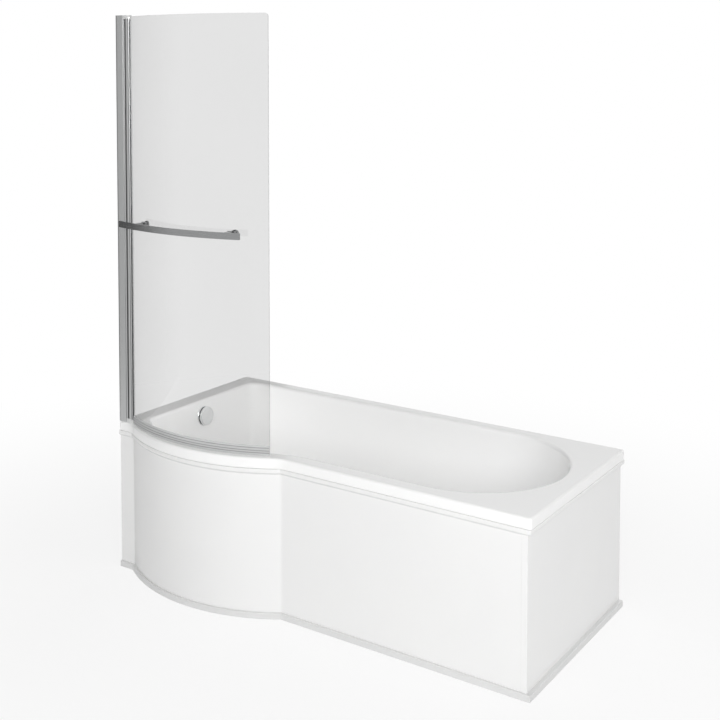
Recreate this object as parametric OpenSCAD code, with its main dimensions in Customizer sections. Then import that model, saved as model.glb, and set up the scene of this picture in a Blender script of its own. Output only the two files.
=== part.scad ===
// P-shaped shower bath with front panel, end panel and a curved swinging screen.
// Millimetres, +Z up. The origin is on the floor, at the centre of the object's plan box.
// Lengths below are measured in the bath's own plan: X runs from the tap-end wall towards
// the head end, Y is 0 at the back wall and falls towards the front, Z is 0 on the floor.

/* [Bath shell] */
// Length of the rim, wall to wall
bath_l = 1700; // [1650:10:1800]
// Width of the rim at its narrow ends
bath_w = 750; // [730:10:800]
// How far the rounded shower end stands out past the narrow width
bulge_depth = 105; // [95:5:115]
// Distance from the tap-end wall to where the bulge starts
bulge_from = 65; // [60:5:80]
// Distance from the tap-end wall to where the bulge ends
bulge_to = 765; // [740:5:790]
// Height of the rim above the floor
rim_z = 560; // [545:5:590]
// Depth of the downturned skirt round the rim
skirt_h = 36; // [32:1:40]
// Depth from the rim to the floor of the basin at the waste
basin_depth = 400; // [380:5:405]
// Thickness of the acrylic with its glass-fibre backing
shell_t = 6; // [5:0.5:7]

/* [Panels] */
// Thickness of the formed panels
panel_t = 4; // [3:0.5:5]
// How far the front panel's face lies behind the rim's edge
front_recess = 8; // [7:1:10]
// How far the end panel's face lies behind the rim's edge
end_recess = 14; // [12:1:16]
// Height of the plinth strips
plinth_h = 21; // [18:1:26]

/* [Bath screen] */
// Height of the wall channel, standing on the rim
screen_h = 1520; // [1400:10:1550]
// Radius of the bent glass at its middle
glass_r = 700; // [690:5:720]
// Thickness of the toughened glass
glass_t = 6; // [5:1:6]
// Distance from the tap-end wall to the free edge of the glass
glass_end = 716; // [700:2:720]

/* [Towel rail] */
// Height of the rail's middle above the rim
rail_rise = 760; // [600:10:1000]
// Height of the flat bar
rail_h = 23; // [18:1:26]
// Thickness of the flat bar
rail_t = 9; // [7:1:10]

/* [Waste and overflow] */
// Distance from the tap-end wall to the waste
waste_x = 250; // [245:1:260]
// Distance of the overflow's middle below the rim
overflow_drop = 62; // [58:1:70]
// Radius of the overflow's turning cover
dial_r = 36; // [32:1:37]
// How far the pop-up plug rises
plug_lift = 9; // [6:1:10]

/* [Hidden] */
$fn = 64;

// ---- plan of the rim ----
bulge_mid = (bulge_from + bulge_to) / 2;
bulge_half = (bulge_to - bulge_from) / 2;
bulge_r = (bulge_half * bulge_half + bulge_depth * bulge_depth) / (2 * bulge_depth);
bulge_c = [bulge_mid, bulge_r - bath_w - bulge_depth];
// A concave blend of radius r where the bulge leaves the straight front: how far its centre is
// from the bulge's middle, its centre's y, and the direction of the bulge's centre
function blend_dx(r) = sqrt(pow(bulge_r + r, 2) - pow(blend_y(r) - bulge_c.y, 2));
function blend_y(r) = -bath_w - r;
function blend_turn(r) = atan2(blend_y(r) - bulge_c.y, blend_dx(r));
rim_blend_r = 90;
rim_corner_r = 8;
rim_edge_r = 8;

// ---- plan of the basin, at the rim and at its floor ----
basin_left = [85, 172];
basin_right = [1629, 1210];
basin_back = [-57, -165];
basin_front = [-685, -590];
bulge_wall = [bulge_r - 70, bulge_r - 185];
head_curve = [332, 240];
basin_mid_y = (basin_back[0] + basin_front[0]) / 2;
// Directions are taken from this point, well inside every level of the basin
hub = [750, -395];
roll_r = 12;
floor_fall = 9;
floor_len = 1000;

// ---- heights ----
floor_z = rim_z - basin_depth;
under_z = floor_z - shell_t;
board_t = 18;
board_z = under_z - board_t;
bar_h = 26;
bar_z = board_z - bar_h;

// ---- screen ----
channel_x = 38;
channel_w = 24;
channel_t = 1.8;
screen_y = -bath_w + channel_w / 2;
screen_z0 = rim_z;
screen_z1 = rim_z + screen_h;
cap_h = 14;
pivot_x = 57;
pivot = [pivot_x, screen_y];
clamp_r = 12;
pin_r = 4;
running = 0.05;
glass_lead = -28;
glass_from = pivot + 9 * [cos(glass_lead), sin(glass_lead)];
glass_to = [glass_end, screen_y - 6];
glass_chord = norm(glass_to - glass_from);
glass_dir = (glass_to - glass_from) / glass_chord;
glass_c = (glass_from + glass_to) / 2
  + sqrt(glass_r * glass_r - glass_chord * glass_chord / 4) * [-glass_dir.y, glass_dir.x];
glass_a0 = atan2(glass_from.y - glass_c.y, glass_from.x - glass_c.x);
glass_a1 = atan2(glass_to.y - glass_c.y, glass_to.x - glass_c.x);
glass_z0 = rim_z + 12;
glass_z1 = screen_z1 - 6;
// The glass leaves the hinge along this direction
jaw_turn = glass_a0 + 90;
seal_top = rim_z + 33;
seal_low = rim_z + 0.5;

// ---- towel rail ----
rail_r = 950;
rail_mid_x = 370;
rail_front = 870;
rail_c = [rail_mid_x, rail_r - rail_front + rail_t / 2];
rail_half = 282;
rail_z = rim_z + rail_rise;
post_x = [192, 600];
post_w = 15;
post_h = 15;
foot_w = 24;
glass_out_r = glass_r + glass_t / 2;
glass_in_r = glass_r - glass_t / 2;

// ---- overall ----
overall_d = rail_front;

// Moves the bath's own plan so that the origin is the centre of the whole plan box
module in_frame() {
  translate([-bath_l / 2, overall_d / 2, 0]) children();
}

// ================= bath shell =================

function mix(pair, a) = pair[0] + (pair[1] - pair[0]) * a;
function arc_points(c, r, from, to, n) =
  [for (i = [0:n - 1]) c + r * [cos(from + (to - from) * i / n), sin(from + (to - from) * i / n)]];
function line_points(p, q, n) = [for (i = [0:n - 1]) p + (q - p) * i / n];
function soft_min(a, b, k) = min(a, b) - pow(max(k - abs(a - b), 0), 2) / (4 * k);
function soft_max(a, b, k) = -soft_min(-a, -b, k);

// Rim outline moved inwards by d, anticlockwise from the front left corner
function rim_outline(d) =
  let (c = max(rim_corner_r - d, 1),
       x0 = d, x1 = bath_l - d, y0 = d - bath_w, y1 = -d,
       r = rim_blend_r,
       turn = blend_turn(r),
       left = [bulge_c.x - blend_dx(r), blend_y(r)],
       right = [bulge_c.x + blend_dx(r), blend_y(r)])
  concat(
    line_points([x0 + c, y0], [left.x, y0], 2),
    arc_points(left, r + d, 90, -turn, 4),
    arc_points(bulge_c, bulge_r - d, -180 - turn, turn, 22),
    arc_points(right, r + d, 180 + turn, 90, 4),
    line_points([right.x, y0], [x1 - c, y0], 16),
    arc_points([x1 - c, y0 + c], c, -90, 0, 3),
    line_points([x1, y0 + c], [x1, y1 - c], 13),
    arc_points([x1 - c, y1 - c], c, 0, 90, 3),
    line_points([x1 - c, y1], [x0 + c, y1], 22),
    arc_points([x0 + c, y1 - c], c, 90, 180, 3),
    line_points([x0, y1 - c], [x0, y0 + c], 13),
    arc_points([x0 + c, y0 + c], c, 180, 270, 3));

rays = [for (p = rim_outline(0)) (p - hub) / norm(p - hub)];
far = 5000;

// Distance from the hub along u to a line of constant x, a line of constant y, or an oval
function to_x(u, x) = (x - hub.x) / u.x > 0 ? (x - hub.x) / u.x : far;
function to_y(u, y) = (y - hub.y) / u.y > 0 ? (y - hub.y) / u.y : far;
function to_oval(u, c, rx, ry) =
  let (p = [(hub.x - c.x) / rx, (hub.y - c.y) / ry],
       q = [u.x / rx, u.y / ry],
       b = p * q)
  (sqrt(b * b - (q * q) * (p * p - 1)) - b) / (q * q);

// Distance from the hub to the basin wall along u: a is 0 at the rim and 1 at the floor,
// and the wall is moved outwards by grow
function basin_reach(u, a, grow) =
  let (x0 = mix(basin_left, a) - grow,
       x1 = mix(basin_right, a) + grow,
       y0 = mix(basin_front, a) - grow,
       y1 = mix(basin_back, a) + grow,
       head = mix(head_curve, a),
       side = u.y > 0
         ? to_y(u, y1)
         : soft_max(to_y(u, y0), min(to_oval(u, bulge_c, mix(bulge_wall, a) + grow,
             mix(bulge_wall, a) + grow), far), 70))
  u.x > 0 && hub.x + min(side, far) * u.x > x1 - head
    ? to_oval(u, [x1 - head, (y0 + y1) / 2], head, (y1 - y0) / 2)
    : soft_min(side, to_x(u, x0), 95);

// The wall's section is one cubic curve: inward share and depth share at s
function wall_in(s) = 3 * pow(1 - s, 2) * s * 0.22 + 3 * (1 - s) * s * s * 0.36 + pow(s, 3);
function wall_down(s) = 3 * pow(1 - s, 2) * s * 0.72 + 3 * (1 - s) * s * s + pow(s, 3);

// The floor falls towards the waste
function fall(x) = floor_fall * (x - waste_x) / floor_len;
function wall_ring(s) =
  [for (u = rays)
    let (p = hub + basin_reach(u, wall_in(s), 0) * u,
         deep = basin_depth - fall(p.x) - roll_r)
    [p.x, p.y, rim_z - roll_r - deep * wall_down(s)]];
function under_ring(s) =
  [for (u = rays)
    let (p = hub + basin_reach(u, wall_in(s), shell_t) * u)
    [p.x, p.y, rim_z - roll_r - (basin_depth + shell_t - roll_r) * wall_down(s)]];
// The rounded lip of the basin, turned by t from flat, on a radius r
function roll_ring(t, r) =
  [for (u = rays)
    let (p = hub + basin_reach(u, 0, roll_r - r * sin(t)) * u)
    [p.x, p.y, rim_z - roll_r + r * cos(t)]];
// The rounded outer edge of the rim
function edge_ring(t, r) =
  [for (p = rim_outline(rim_edge_r - r * sin(t))) [p.x, p.y, rim_z - rim_edge_r + r * cos(t)]];
function skirt_ring(d, z) = [for (p = rim_outline(d)) [p.x, p.y, z]];

wall_steps = 10;
shell_rings = concat(
  [for (i = [wall_steps:-1:0]) wall_ring(i / wall_steps)],
  [for (t = [60, 30, 0]) roll_ring(t, roll_r)],
  [for (t = [0, 30, 60, 90]) edge_ring(t, rim_edge_r)],
  [skirt_ring(0, rim_z - skirt_h), skirt_ring(shell_t, rim_z - skirt_h)],
  [for (t = [90, 0]) edge_ring(t, rim_edge_r - shell_t)],
  [for (t = [0, 45]) roll_ring(t, roll_r - shell_t)],
  [for (i = [0:wall_steps]) under_ring(i / wall_steps)]);

// Closed skin over a stack of rings, with a point at each end
module ring_skin(rings, start, end) {
  n = len(rings[0]);
  m = len(rings);
  points = concat([start], [for (ring = rings) each ring], [end]);
  last = len(points) - 1;
  faces = concat(
    [for (i = [0:n - 1]) [0, 1 + (i + 1) % n, 1 + i]],
    [for (k = [0:m - 2], i = [0:n - 1])
      let (a = 1 + k * n + i, b = 1 + k * n + (i + 1) % n) each [[a, b, b + n], [a, b + n, a + n]]],
    [for (i = [0:n - 1]) [last, last - n + i, last - n + (i + 1) % n]]);
  polyhedron(points, faces, convexity = 8);
}

waste_hole_r = 26;
waste_seat_r = 38;
waste_seat_deep = 3;
waste = [waste_x, basin_mid_y];
overflow_z = rim_z - overflow_drop;
overflow_tilt = atan2((basin_left[1] - basin_left[0]) * 0.22, (basin_depth - roll_r) * 0.72);
overflow_x = basin_left[0] + (overflow_drop - roll_r) * tan(overflow_tilt) + 0.5;
overflow_hole_r = 27;
overflow_seat_r = 41;

// Puts local Z along the overflow's axis, pointing into the basin from the wall's face
module at_overflow() {
  translate([overflow_x, basin_mid_y, overflow_z]) rotate([0, 90 - overflow_tilt, 0]) children();
}

module bath_shell() {
  color("white") in_frame() difference() {
    ring_skin(shell_rings, [hub.x, hub.y, floor_z + fall(hub.x)], [hub.x, hub.y, under_z]);
    translate([waste.x, waste.y, floor_z - waste_seat_deep]) cylinder(r = waste_seat_r, h = 20);
    translate([waste.x, waste.y, under_z - 10]) cylinder(r = waste_hole_r, h = 40);
    at_overflow() cylinder(r = overflow_seat_r, h = 12);
    at_overflow() translate([0, 0, -30]) cylinder(r = overflow_hole_r, h = 60);
  }
}

// ================= boards and battens =================

board_x = [345, 1160];
board_y = [-560, -195];

// Flat board with rounded corners, from one corner to the other
module rounded_board(p, q, r, t) {
  linear_extrude(t) union() {
    translate([p.x + r, p.y]) square([q.x - p.x - 2 * r, q.y - p.y]);
    translate([p.x, p.y + r]) square([q.x - p.x, q.y - p.y - 2 * r]);
    for (x = [p.x + r, q.x - r], y = [p.y + r, q.y - r]) translate([x, y]) circle(r);
  }
}

module base_board() {
  color("burlywood") in_frame() translate([0, 0, board_z]) difference() {
    rounded_board([board_x[0], board_y[0]], [board_x[1], board_y[1]], 30, board_t);
    translate([centre.x, centre.y, -1]) cylinder(r = stud_hole_r, h = board_t - 4);
    for (p = board_screws) translate([p.x, p.y, -1]) cylinder(r = frame_hole_r, h = board_t - 2);
  }
}

batten_w = 32;
batten_t = skirt_h - shell_t;
batten_gap = 4;
batten_z = rim_z - shell_t - batten_t;
batten_in = shell_t + panel_t + batten_gap;

module batten(x, y, l, w) {
  translate([x, y, batten_z]) cube([l, w, batten_t]);
}

module rim_batten_back() {
  color("burlywood") in_frame() batten(90, -batten_in - batten_w + 3, 1180, batten_w);
}

module rim_batten_front() {
  color("burlywood") in_frame() batten(bulge_to + 75, batten_in - bath_w, 520, batten_w);
}

module rim_batten_end() {
  color("burlywood") in_frame() batten(bath_l - batten_in - batten_w, -500, batten_w, 260);
}

// ================= frames and feet =================

bar_x = [420, 1085];
bar_w = 40;
bar_t = 2;
bar_y = [-590, -165];
bar_foot_in = 22;
stud_r = 5;
stud_hole_r = 6;
foot_spots = [
  [bar_x[0], bar_y[0] + bar_foot_in],
  [bar_x[0], bar_y[1] - bar_foot_in],
  [bar_x[1], bar_y[0] + bar_foot_in],
  [bar_x[1], bar_y[1] - bar_foot_in],
  [(bar_x[0] + bar_x[1]) / 2, (board_y[0] + board_y[1]) / 2]
];
plate_t = 3;
frame_hole_r = 2.6;

// Pressed channel, open downwards, with a stud hole near each end and four screw holes
module cross_bar(x) {
  color("silver") in_frame() difference() {
    translate([x - bar_w / 2, bar_y[0], bar_z]) cube([bar_w, bar_y[1] - bar_y[0], bar_h]);
    translate([x - bar_w / 2 + bar_t, bar_y[0] - 1, bar_z - 1])
      cube([bar_w - 2 * bar_t, bar_y[1] - bar_y[0] + 2, bar_h - bar_t + 1]);
    for (y = [bar_y[0] + bar_foot_in, bar_y[1] - bar_foot_in])
      translate([x, y, bar_z]) cylinder(r = stud_hole_r, h = bar_h + 1);
    for (y = frame_screw_y) translate([x, y, bar_z]) cylinder(r = frame_hole_r, h = bar_h + 1);
  }
}

frame_screw_y = [-520, -430, -325, -235];

module cross_bar_tap() { cross_bar(bar_x[0]); }
module cross_bar_head() { cross_bar(bar_x[1]); }

centre = foot_spots[4];
plate_half = 45;
plate_hole = 34;

module centre_plate() {
  color("silver") in_frame() translate([centre.x, centre.y, board_z - plate_t]) difference() {
    rounded_board([-plate_half, -plate_half], [plate_half, plate_half], 8, plate_t);
    translate([0, 0, -1]) cylinder(r = stud_hole_r, h = plate_t + 2);
    for (x = [-plate_hole, plate_hole], y = [-plate_hole, plate_hole])
      translate([x, y, -1]) cylinder(r = frame_hole_r, h = plate_t + 2);
  }
}

pad_r = 27;
pad_h = 16;

// Moulded foot: a broad dished pad with a socket that the stud's end sits in
module foot_pad(i) {
  color("dimgray") in_frame() translate([foot_spots[i].x, foot_spots[i].y, 0]) rotate_extrude()
    polygon([[0, 0], [pad_r, 0], [pad_r, 3], [pad_r - 4, 6], [14, 9], [11, pad_h], [stud_r, pad_h],
      [stud_r, 5], [0, 5]]);
}

// The stud, from the pad's socket up through the frame
module foot_stud(i) {
  top = i < 4 ? bar_z + bar_h + 8 : board_z + 8;
  color("silver") in_frame() translate([foot_spots[i].x, foot_spots[i].y, 5])
    cylinder(r = stud_r, h = top - 5);
}

module foot_1() { foot_pad(0); }
module foot_2() { foot_pad(1); }
module foot_3() { foot_pad(2); }
module foot_4() { foot_pad(3); }
module foot_5() { foot_pad(4); }
module stud_1() { foot_stud(0); }
module stud_2() { foot_stud(1); }
module stud_3() { foot_stud(2); }
module stud_4() { foot_stud(3); }
module stud_5() { foot_stud(4); }

nut_r = 9.8;
nut_h = 8;

module hex_nut() {
  difference() {
    cylinder(r = nut_r, h = nut_h, $fn = 6);
    translate([0, 0, -1]) cylinder(r = stud_r, h = nut_h + 2);
  }
}

// One nut locks each foot and one holds each stud under its bar or plate
module lock_nuts() {
  color("silver") in_frame() for (i = [0:4]) translate([foot_spots[i].x, foot_spots[i].y, 0]) {
    translate([0, 0, pad_h]) hex_nut();
    translate([0, 0, (i < 4 ? bar_z + bar_h - bar_t : board_z - plate_t) - nut_h]) hex_nut();
  }
}

screw_head_r = 4.6;
screw_head_h = 2.5;
screw_l = 14;

// Pan-head screw, head down, its head's seat at z 0
module frame_screw() {
  translate([0, 0, -screw_head_h]) cylinder(r = screw_head_r, h = screw_head_h);
  cylinder(r = frame_hole_r, h = screw_l);
}

bar_screws = [for (x = bar_x, y = frame_screw_y) [x, y]];
plate_screws = [for (x = [-plate_hole, plate_hole], y = [-plate_hole, plate_hole]) centre + [x, y]];
board_screws = concat(bar_screws, plate_screws);

module frame_screws() {
  color("silver") in_frame() {
    for (p = bar_screws) translate([p.x, p.y, bar_z + bar_h - bar_t]) frame_screw();
    for (p = plate_screws) translate([p.x, p.y, board_z - plate_t]) frame_screw();
  }
}

// ================= wall brackets =================

bracket_w = 50;
bracket_t = 2.5;
bracket_drop = 60;
bracket_ledge = 22;
bracket_hole_r = 3;
bracket_hole_x = 15;
bracket_hole_drop = 40;
bracket_x = [330, 1100];
bracket_y = -560;

// Angle plate that the rim's skirt sits on. Drawn for a wall at y 0, the bath at negative y.
module wall_bracket() {
  difference() {
    translate([-bracket_w / 2, 0, 0]) {
      translate([0, -bracket_t, -bracket_drop]) cube([bracket_w, bracket_t, bracket_drop]);
      translate([0, -bracket_ledge, -bracket_t]) cube([bracket_w, bracket_ledge, bracket_t]);
    }
    for (x = [-bracket_hole_x, bracket_hole_x])
      translate([x, 1, -bracket_hole_drop]) rotate([90, 0, 0])
        cylinder(r = bracket_hole_r, h = bracket_t + 2);
  }
}

module wall_bracket_1() {
  color("silver") in_frame() translate([bracket_x[0], 0, rim_z - skirt_h]) wall_bracket();
}

module wall_bracket_2() {
  color("silver") in_frame() translate([bracket_x[1], 0, rim_z - skirt_h]) wall_bracket();
}

module wall_bracket_3() {
  color("silver") in_frame() translate([0, bracket_y, rim_z - skirt_h]) rotate([0, 0, 90])
    wall_bracket();
}

// ================= panels and plinths =================

panel_top = rim_z - skirt_h;
lip_h = 14;
lip_cove = 8;
upstand_h = 14;
rail_gap = 1;
border_w = 20;
border_rise = 1.5;
plinth_w = 26;

// Sections are lists of [outward from the rim's edge, height]: up the outer face and back down
// the inner one, so that each point k faces the point last - k across the sheet.

// A panel's face lies recess behind the edge, a lip at its top comes flush, and an upstand
// tucks up behind the skirt.
function panel_section(recess) =
  let (tuck = -shell_t - rail_gap, top = panel_top - rail_gap)
  [[-recess, plinth_h], [-recess, panel_top - lip_h - lip_cove], [0, panel_top - lip_h], [0, top],
   [tuck, top], [tuck, panel_top + upstand_h], [tuck - panel_t, panel_top + upstand_h],
   [tuck - panel_t, top - panel_t], [-panel_t, top - panel_t], [-panel_t, panel_top - lip_h + 2],
   [-recess - panel_t, panel_top - lip_h - lip_cove - 2], [-recess - panel_t, plinth_h]];

// A plinth strip is a moulding open at its foot, with a ledge that the panel's foot stands on
plinth_section = [[0, 0], [0, plinth_h - 2], [-1.5, plinth_h], [-plinth_w, plinth_h],
  [-plinth_w, 0], [3 - plinth_w, 0], [3 - plinth_w, plinth_h - 3], [-4, plinth_h - 3],
  [-3, plinth_h - 4], [-3, 0]];

// The front's outline moved inwards by d: short straight, bulge and long straight. At a crease
// the bulge's arc meets the straight.
bulge_steps = 40;
function front_line(d, x_start, x_end) =
  let (y = d - bath_w,
       half = acos((bulge_c.y - y) / (bulge_r - d)))
  concat([[x_start, y]],
    [for (i = [0:bulge_steps])
      let (a = half * (2 * i / bulge_steps - 1)) bulge_c + (bulge_r - d) * [sin(a), -cos(a)]],
    [[x_end, y]]);

// Closed skin of a section run along the front. Point k of the section runs from x = starts[k]
// to x = ends[k].
module along_front(section, starts, ends) {
  n = len(section);
  lines = [for (k = [0:n - 1]) front_line(-section[k].x, starts[k], ends[k])];
  m = len(lines[0]);
  points = [for (j = [0:m - 1], k = [0:n - 1]) [lines[k][j].x, lines[k][j].y, section[k].y]];
  top = (m - 1) * n;
  faces = concat(
    [for (j = [0:m - 2], k = [0:n - 1])
      let (a = j * n + k, b = j * n + (k + 1) % n) each [[a, b, b + n], [a, b + n, a + n]]],
    [for (k = [0:n / 2 - 2]) each [[k, n - 1 - k, n - 2 - k], [k, n - 2 - k, k + 1]]],
    [for (k = [0:n / 2 - 2])
      each [[top + k, top + k + 1, top + n - 2 - k], [top + k, top + n - 2 - k, top + n - 1 - k]]]);
  polyhedron(points, faces, convexity = 6);
}

// Runs a section along the head end, from y0 to the back wall
module along_end(section, y0) {
  translate([bath_l, y0, 0]) rotate([90, 0, 0]) mirror([0, 0, 1]) linear_extrude(-y0)
    polygon(section);
}

// The panel's lip runs on to the corner, past the face and the upstand. The upstand starts clear
// of the skirt along the tap-end wall.
lip_points = [2, 3, 8, 9];
upstand_points = [4, 5, 6, 7];
upstand_clear = shell_t + rail_gap;
face_end = bath_l - end_recess;
panel_starts = [for (k = [0:11]) len(search(k, upstand_points)) > 0 ? upstand_clear : 0];
panel_ends = [for (k = [0:11]) len(search(k, lip_points)) > 0 ? bath_l : face_end];

module front_panel() {
  color("white") in_frame() {
    along_front(panel_section(front_recess), panel_starts, panel_ends);
    translate([face_end - border_w, front_recess - border_rise - bath_w, plinth_h])
      cube([border_w, border_rise + 1, panel_top - lip_h - lip_cove - plinth_h + 2]);
  }
}

module end_panel() {
  color("white") in_frame() {
    difference() {
      along_end(panel_section(end_recess), front_recess + panel_t - bath_w);
      translate([bath_l - 20, -upstand_clear, panel_top - rail_gap])
        cube([20, upstand_clear + 1, upstand_h + 5]);
    }
    translate([bath_l - panel_t, panel_t - bath_w, panel_top - lip_h])
      cube([panel_t, front_recess + 1, lip_h - rail_gap]);
  }
}

module front_plinth() {
  color("white") in_frame()
    along_front(plinth_section, [for (p = plinth_section) 0], [for (p = plinth_section) bath_l]);
}

module end_plinth() {
  color("white") in_frame() along_end(plinth_section, plinth_w - bath_w);
}

clip_w = 25;
clip_t = 1.5;
clip_x = [870, 1100, 1310];
clip_y = [-460, -290];
clip_in = shell_t + rail_gap + panel_t + 0.5;

// Angle clip under a batten; its leg stands between the batten and the panel's upstand.
// Drawn with the rim's edge on the X axis and the bath at positive y.
module panel_clip() {
  translate([-clip_w / 2, clip_in, batten_z - clip_t]) cube([clip_w, 22, clip_t]);
  translate([-clip_w / 2, clip_in, batten_z - clip_t]) cube([clip_w, clip_t, 13]);
}

module panel_clips() {
  color("silver") in_frame() {
    for (x = clip_x) translate([x, -bath_w, 0]) panel_clip();
    for (y = clip_y) translate([bath_l, y, 0]) rotate([0, 0, 90]) panel_clip();
  }
}

// ================= waste =================

flange_r = 35;
flange_t = 3;
flange_z = floor_z - waste_seat_deep;
spigot_r = 22;
mouth_r = 19;
plug_r = 31;
plug_t = 4;
stem_r = 4;
stem_l = 38;
guide_r = 9;
tail_r = 23.9;
tail_l = 30;
body_top = under_z - 3;
body_r = 30;
body_h = 50;
inlet_z = body_top - body_h + 18;
hose_r = 11;
hose_bore = 8.5;

module at_waste(z) {
  in_frame() translate([waste.x, waste.y, z]) children();
}

// Turned flange with a dished mouth, a threaded spigot and a cross that guides the plug's stem
module waste_flange() {
  color("gainsboro") at_waste(flange_z) difference() {
    union() {
      rotate_extrude() polygon([
        [mouth_r, -24], [spigot_r, -24], [spigot_r, 0], [flange_r, 0], [flange_r, flange_t - 1],
        [flange_r - 2, flange_t], [mouth_r + 8, flange_t], [mouth_r + 1.5, 0.5], [mouth_r, -3]]);
      translate([0, 0, -20]) cylinder(r = guide_r, h = 9);
      translate([-mouth_r - 1, -1.5, -20]) cube([2 * mouth_r + 2, 3, 8]);
      translate([-1.5, -mouth_r - 1, -20]) cube([3, 2 * mouth_r + 2, 8]);
    }
    translate([0, 0, -30]) cylinder(r = stem_r + running, h = 40);
  }
}

module waste_seal() {
  color("dimgray") at_waste(under_z - 3) difference() {
    cylinder(r = 36, h = 3);
    translate([0, 0, -1]) cylinder(r = waste_hole_r, h = 5);
  }
}

// Moulded body under the basin: collar, chamber, side inlet for the overflow and threaded tail
module waste_body() {
  color("whitesmoke") difference() {
    union() {
      at_waste(body_top - 4) cylinder(r = 37, h = 4);
      at_waste(body_top - body_h) cylinder(r = body_r, h = body_h - 2);
      at_waste(body_top - body_h - tail_l) cylinder(r = tail_r, h = tail_l + 2);
      at_waste(inlet_z) rotate([0, -90, 0]) cylinder(r = 15, h = 46);
      for (turn = [0:45:315]) at_waste(body_top - body_h) rotate([0, 0, turn])
        translate([body_r - 1, -1.5, 0]) cube([6, 3, body_h - 3]);
    }
    at_waste(body_top - 24) cylinder(r = spigot_r, h = 30);
    at_waste(body_top - body_h - tail_l - 1) cylinder(r = 20, h = body_h + tail_l + 5);
    at_waste(inlet_z) rotate([0, -90, 0]) cylinder(r = hose_bore, h = 50);
    at_waste(inlet_z) translate([-46 - 1, 0, 0]) rotate([0, 90, 0]) cylinder(r = hose_r, h = 13);
  }
}

plug_gap = 0.4;

// Domed pop-up cap on its stem, shown shut
module waste_plug() {
  color("gainsboro") at_waste(flange_z + flange_t + plug_gap) {
    rotate_extrude() polygon([[0, 0], [plug_r - 1, 0], [plug_r, 1], [plug_r, plug_t - 1.5],
      [plug_r - 2, plug_t], [12, plug_t + 1], [0, plug_t + 1.2]]);
    translate([0, 0, -stem_l]) cylinder(r = stem_r, h = stem_l);
  }
}

// Rubber ring under the cap, which seals in the flange's mouth
module plug_ring() {
  color("dimgray") at_waste(flange_z + flange_t + plug_gap) rotate_extrude()
    polygon([[stem_r, 0], [25.5, 0], [21, -1.9], [18, -2.6], [stem_r, -2.6]]);
}

// ================= overflow =================

face_r = 39;
face_t = 4;
hub_r = 10;
hub_l = 22;
dial_gap = 6;
dial_t = 9;
shaft_r = 5;
shaft_l = 26;
hose_turn_r = 60;
hose_x = overflow_x - 34;
hose_top = overflow_z - 30;
waste_inlet_x = waste.x - 34;

// Chrome plate clamped to the basin wall, with water slots round the bearing of the cover
module overflow_face() {
  color("gainsboro") in_frame() at_overflow() difference() {
    union() {
      rotate_extrude() polygon([[0, 0], [face_r, 0], [face_r, face_t - 2], [face_r - 2, face_t],
        [0, face_t]]);
      translate([0, 0, -hub_l + face_t]) cylinder(r = hub_r, h = hub_l);
    }
    translate([0, 0, -hub_l]) cylinder(r = shaft_r + running, h = hub_l + face_t + 1);
    for (turn = [0:60:300]) rotate([0, 0, turn]) translate([18, 0, -1]) cylinder(r = 5, h = face_t + 2);
  }
}

// The turning cover: a thick round knob standing off its plate so that water runs in behind it
module overflow_dial() {
  color("gainsboro") in_frame() at_overflow() {
    translate([0, 0, face_t + dial_gap]) rotate_extrude() polygon([[0, 0], [dial_r, 0],
      [dial_r, dial_t - 3], [dial_r - 1, dial_t - 1], [dial_r - 3, dial_t], [0, dial_t]]);
    translate([0, 0, face_t + dial_gap - shaft_l]) cylinder(r = shaft_r, h = shaft_l);
  }
}

module overflow_seal() {
  color("dimgray") in_frame() at_overflow() translate([0, 0, -shell_t - 3.5]) difference() {
    cylinder(r = 38, h = 3);
    translate([0, 0, -1]) cylinder(r = overflow_hole_r, h = 5);
  }
}

// Moulded chamber behind the basin wall with a spout for the hose at its foot
module overflow_body() {
  back = -shell_t - 3.5;
  color("whitesmoke") in_frame() difference() {
    union() {
      at_overflow() translate([0, 0, back - 36]) cylinder(r = 34, h = 36);
      at_overflow() translate([0, 0, back - 4]) cylinder(r = 40, h = 4);
      translate([hose_x, basin_mid_y, hose_top - 14]) cylinder(r = 15, h = 30);
    }
    at_overflow() translate([0, 0, back - 32]) cylinder(r = overflow_hole_r, h = 40);
    translate([hose_x, basin_mid_y, hose_top - 20]) cylinder(r = hose_bore, h = 30);
    translate([hose_x, basin_mid_y, hose_top - 15]) cylinder(r = hose_r, h = 15);
  }
}

drop_z = inlet_z + hose_turn_r;

// Stands a turned shape on the top of the hose's bend
module on_drop() {
  translate([hose_x, basin_mid_y, drop_z]) children();
}

// Runs a plane section round the hose's bend
module along_bend() {
  translate([hose_x + hose_turn_r, basin_mid_y, drop_z]) rotate([90, 0, 0])
    rotate([0, 0, 180]) rotate_extrude(angle = 90) translate([hose_turn_r, 0]) children();
}

rib_pitch = 8;
rib_r = 13;
rib_count = floor((hose_top - drop_z - 18) / rib_pitch);
cuff_r = hose_r + 0.6;
drop_bore = hose_bore - 0.3;
run_l = waste_inlet_x - hose_x - hose_turn_r;

// Level stretch of the hose's route, from the bend to the waste
module along_run(r) {
  translate([hose_x + hose_turn_r, basin_mid_y, inlet_z]) rotate([0, 90, 0])
    cylinder(r = r, h = run_l);
}

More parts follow.
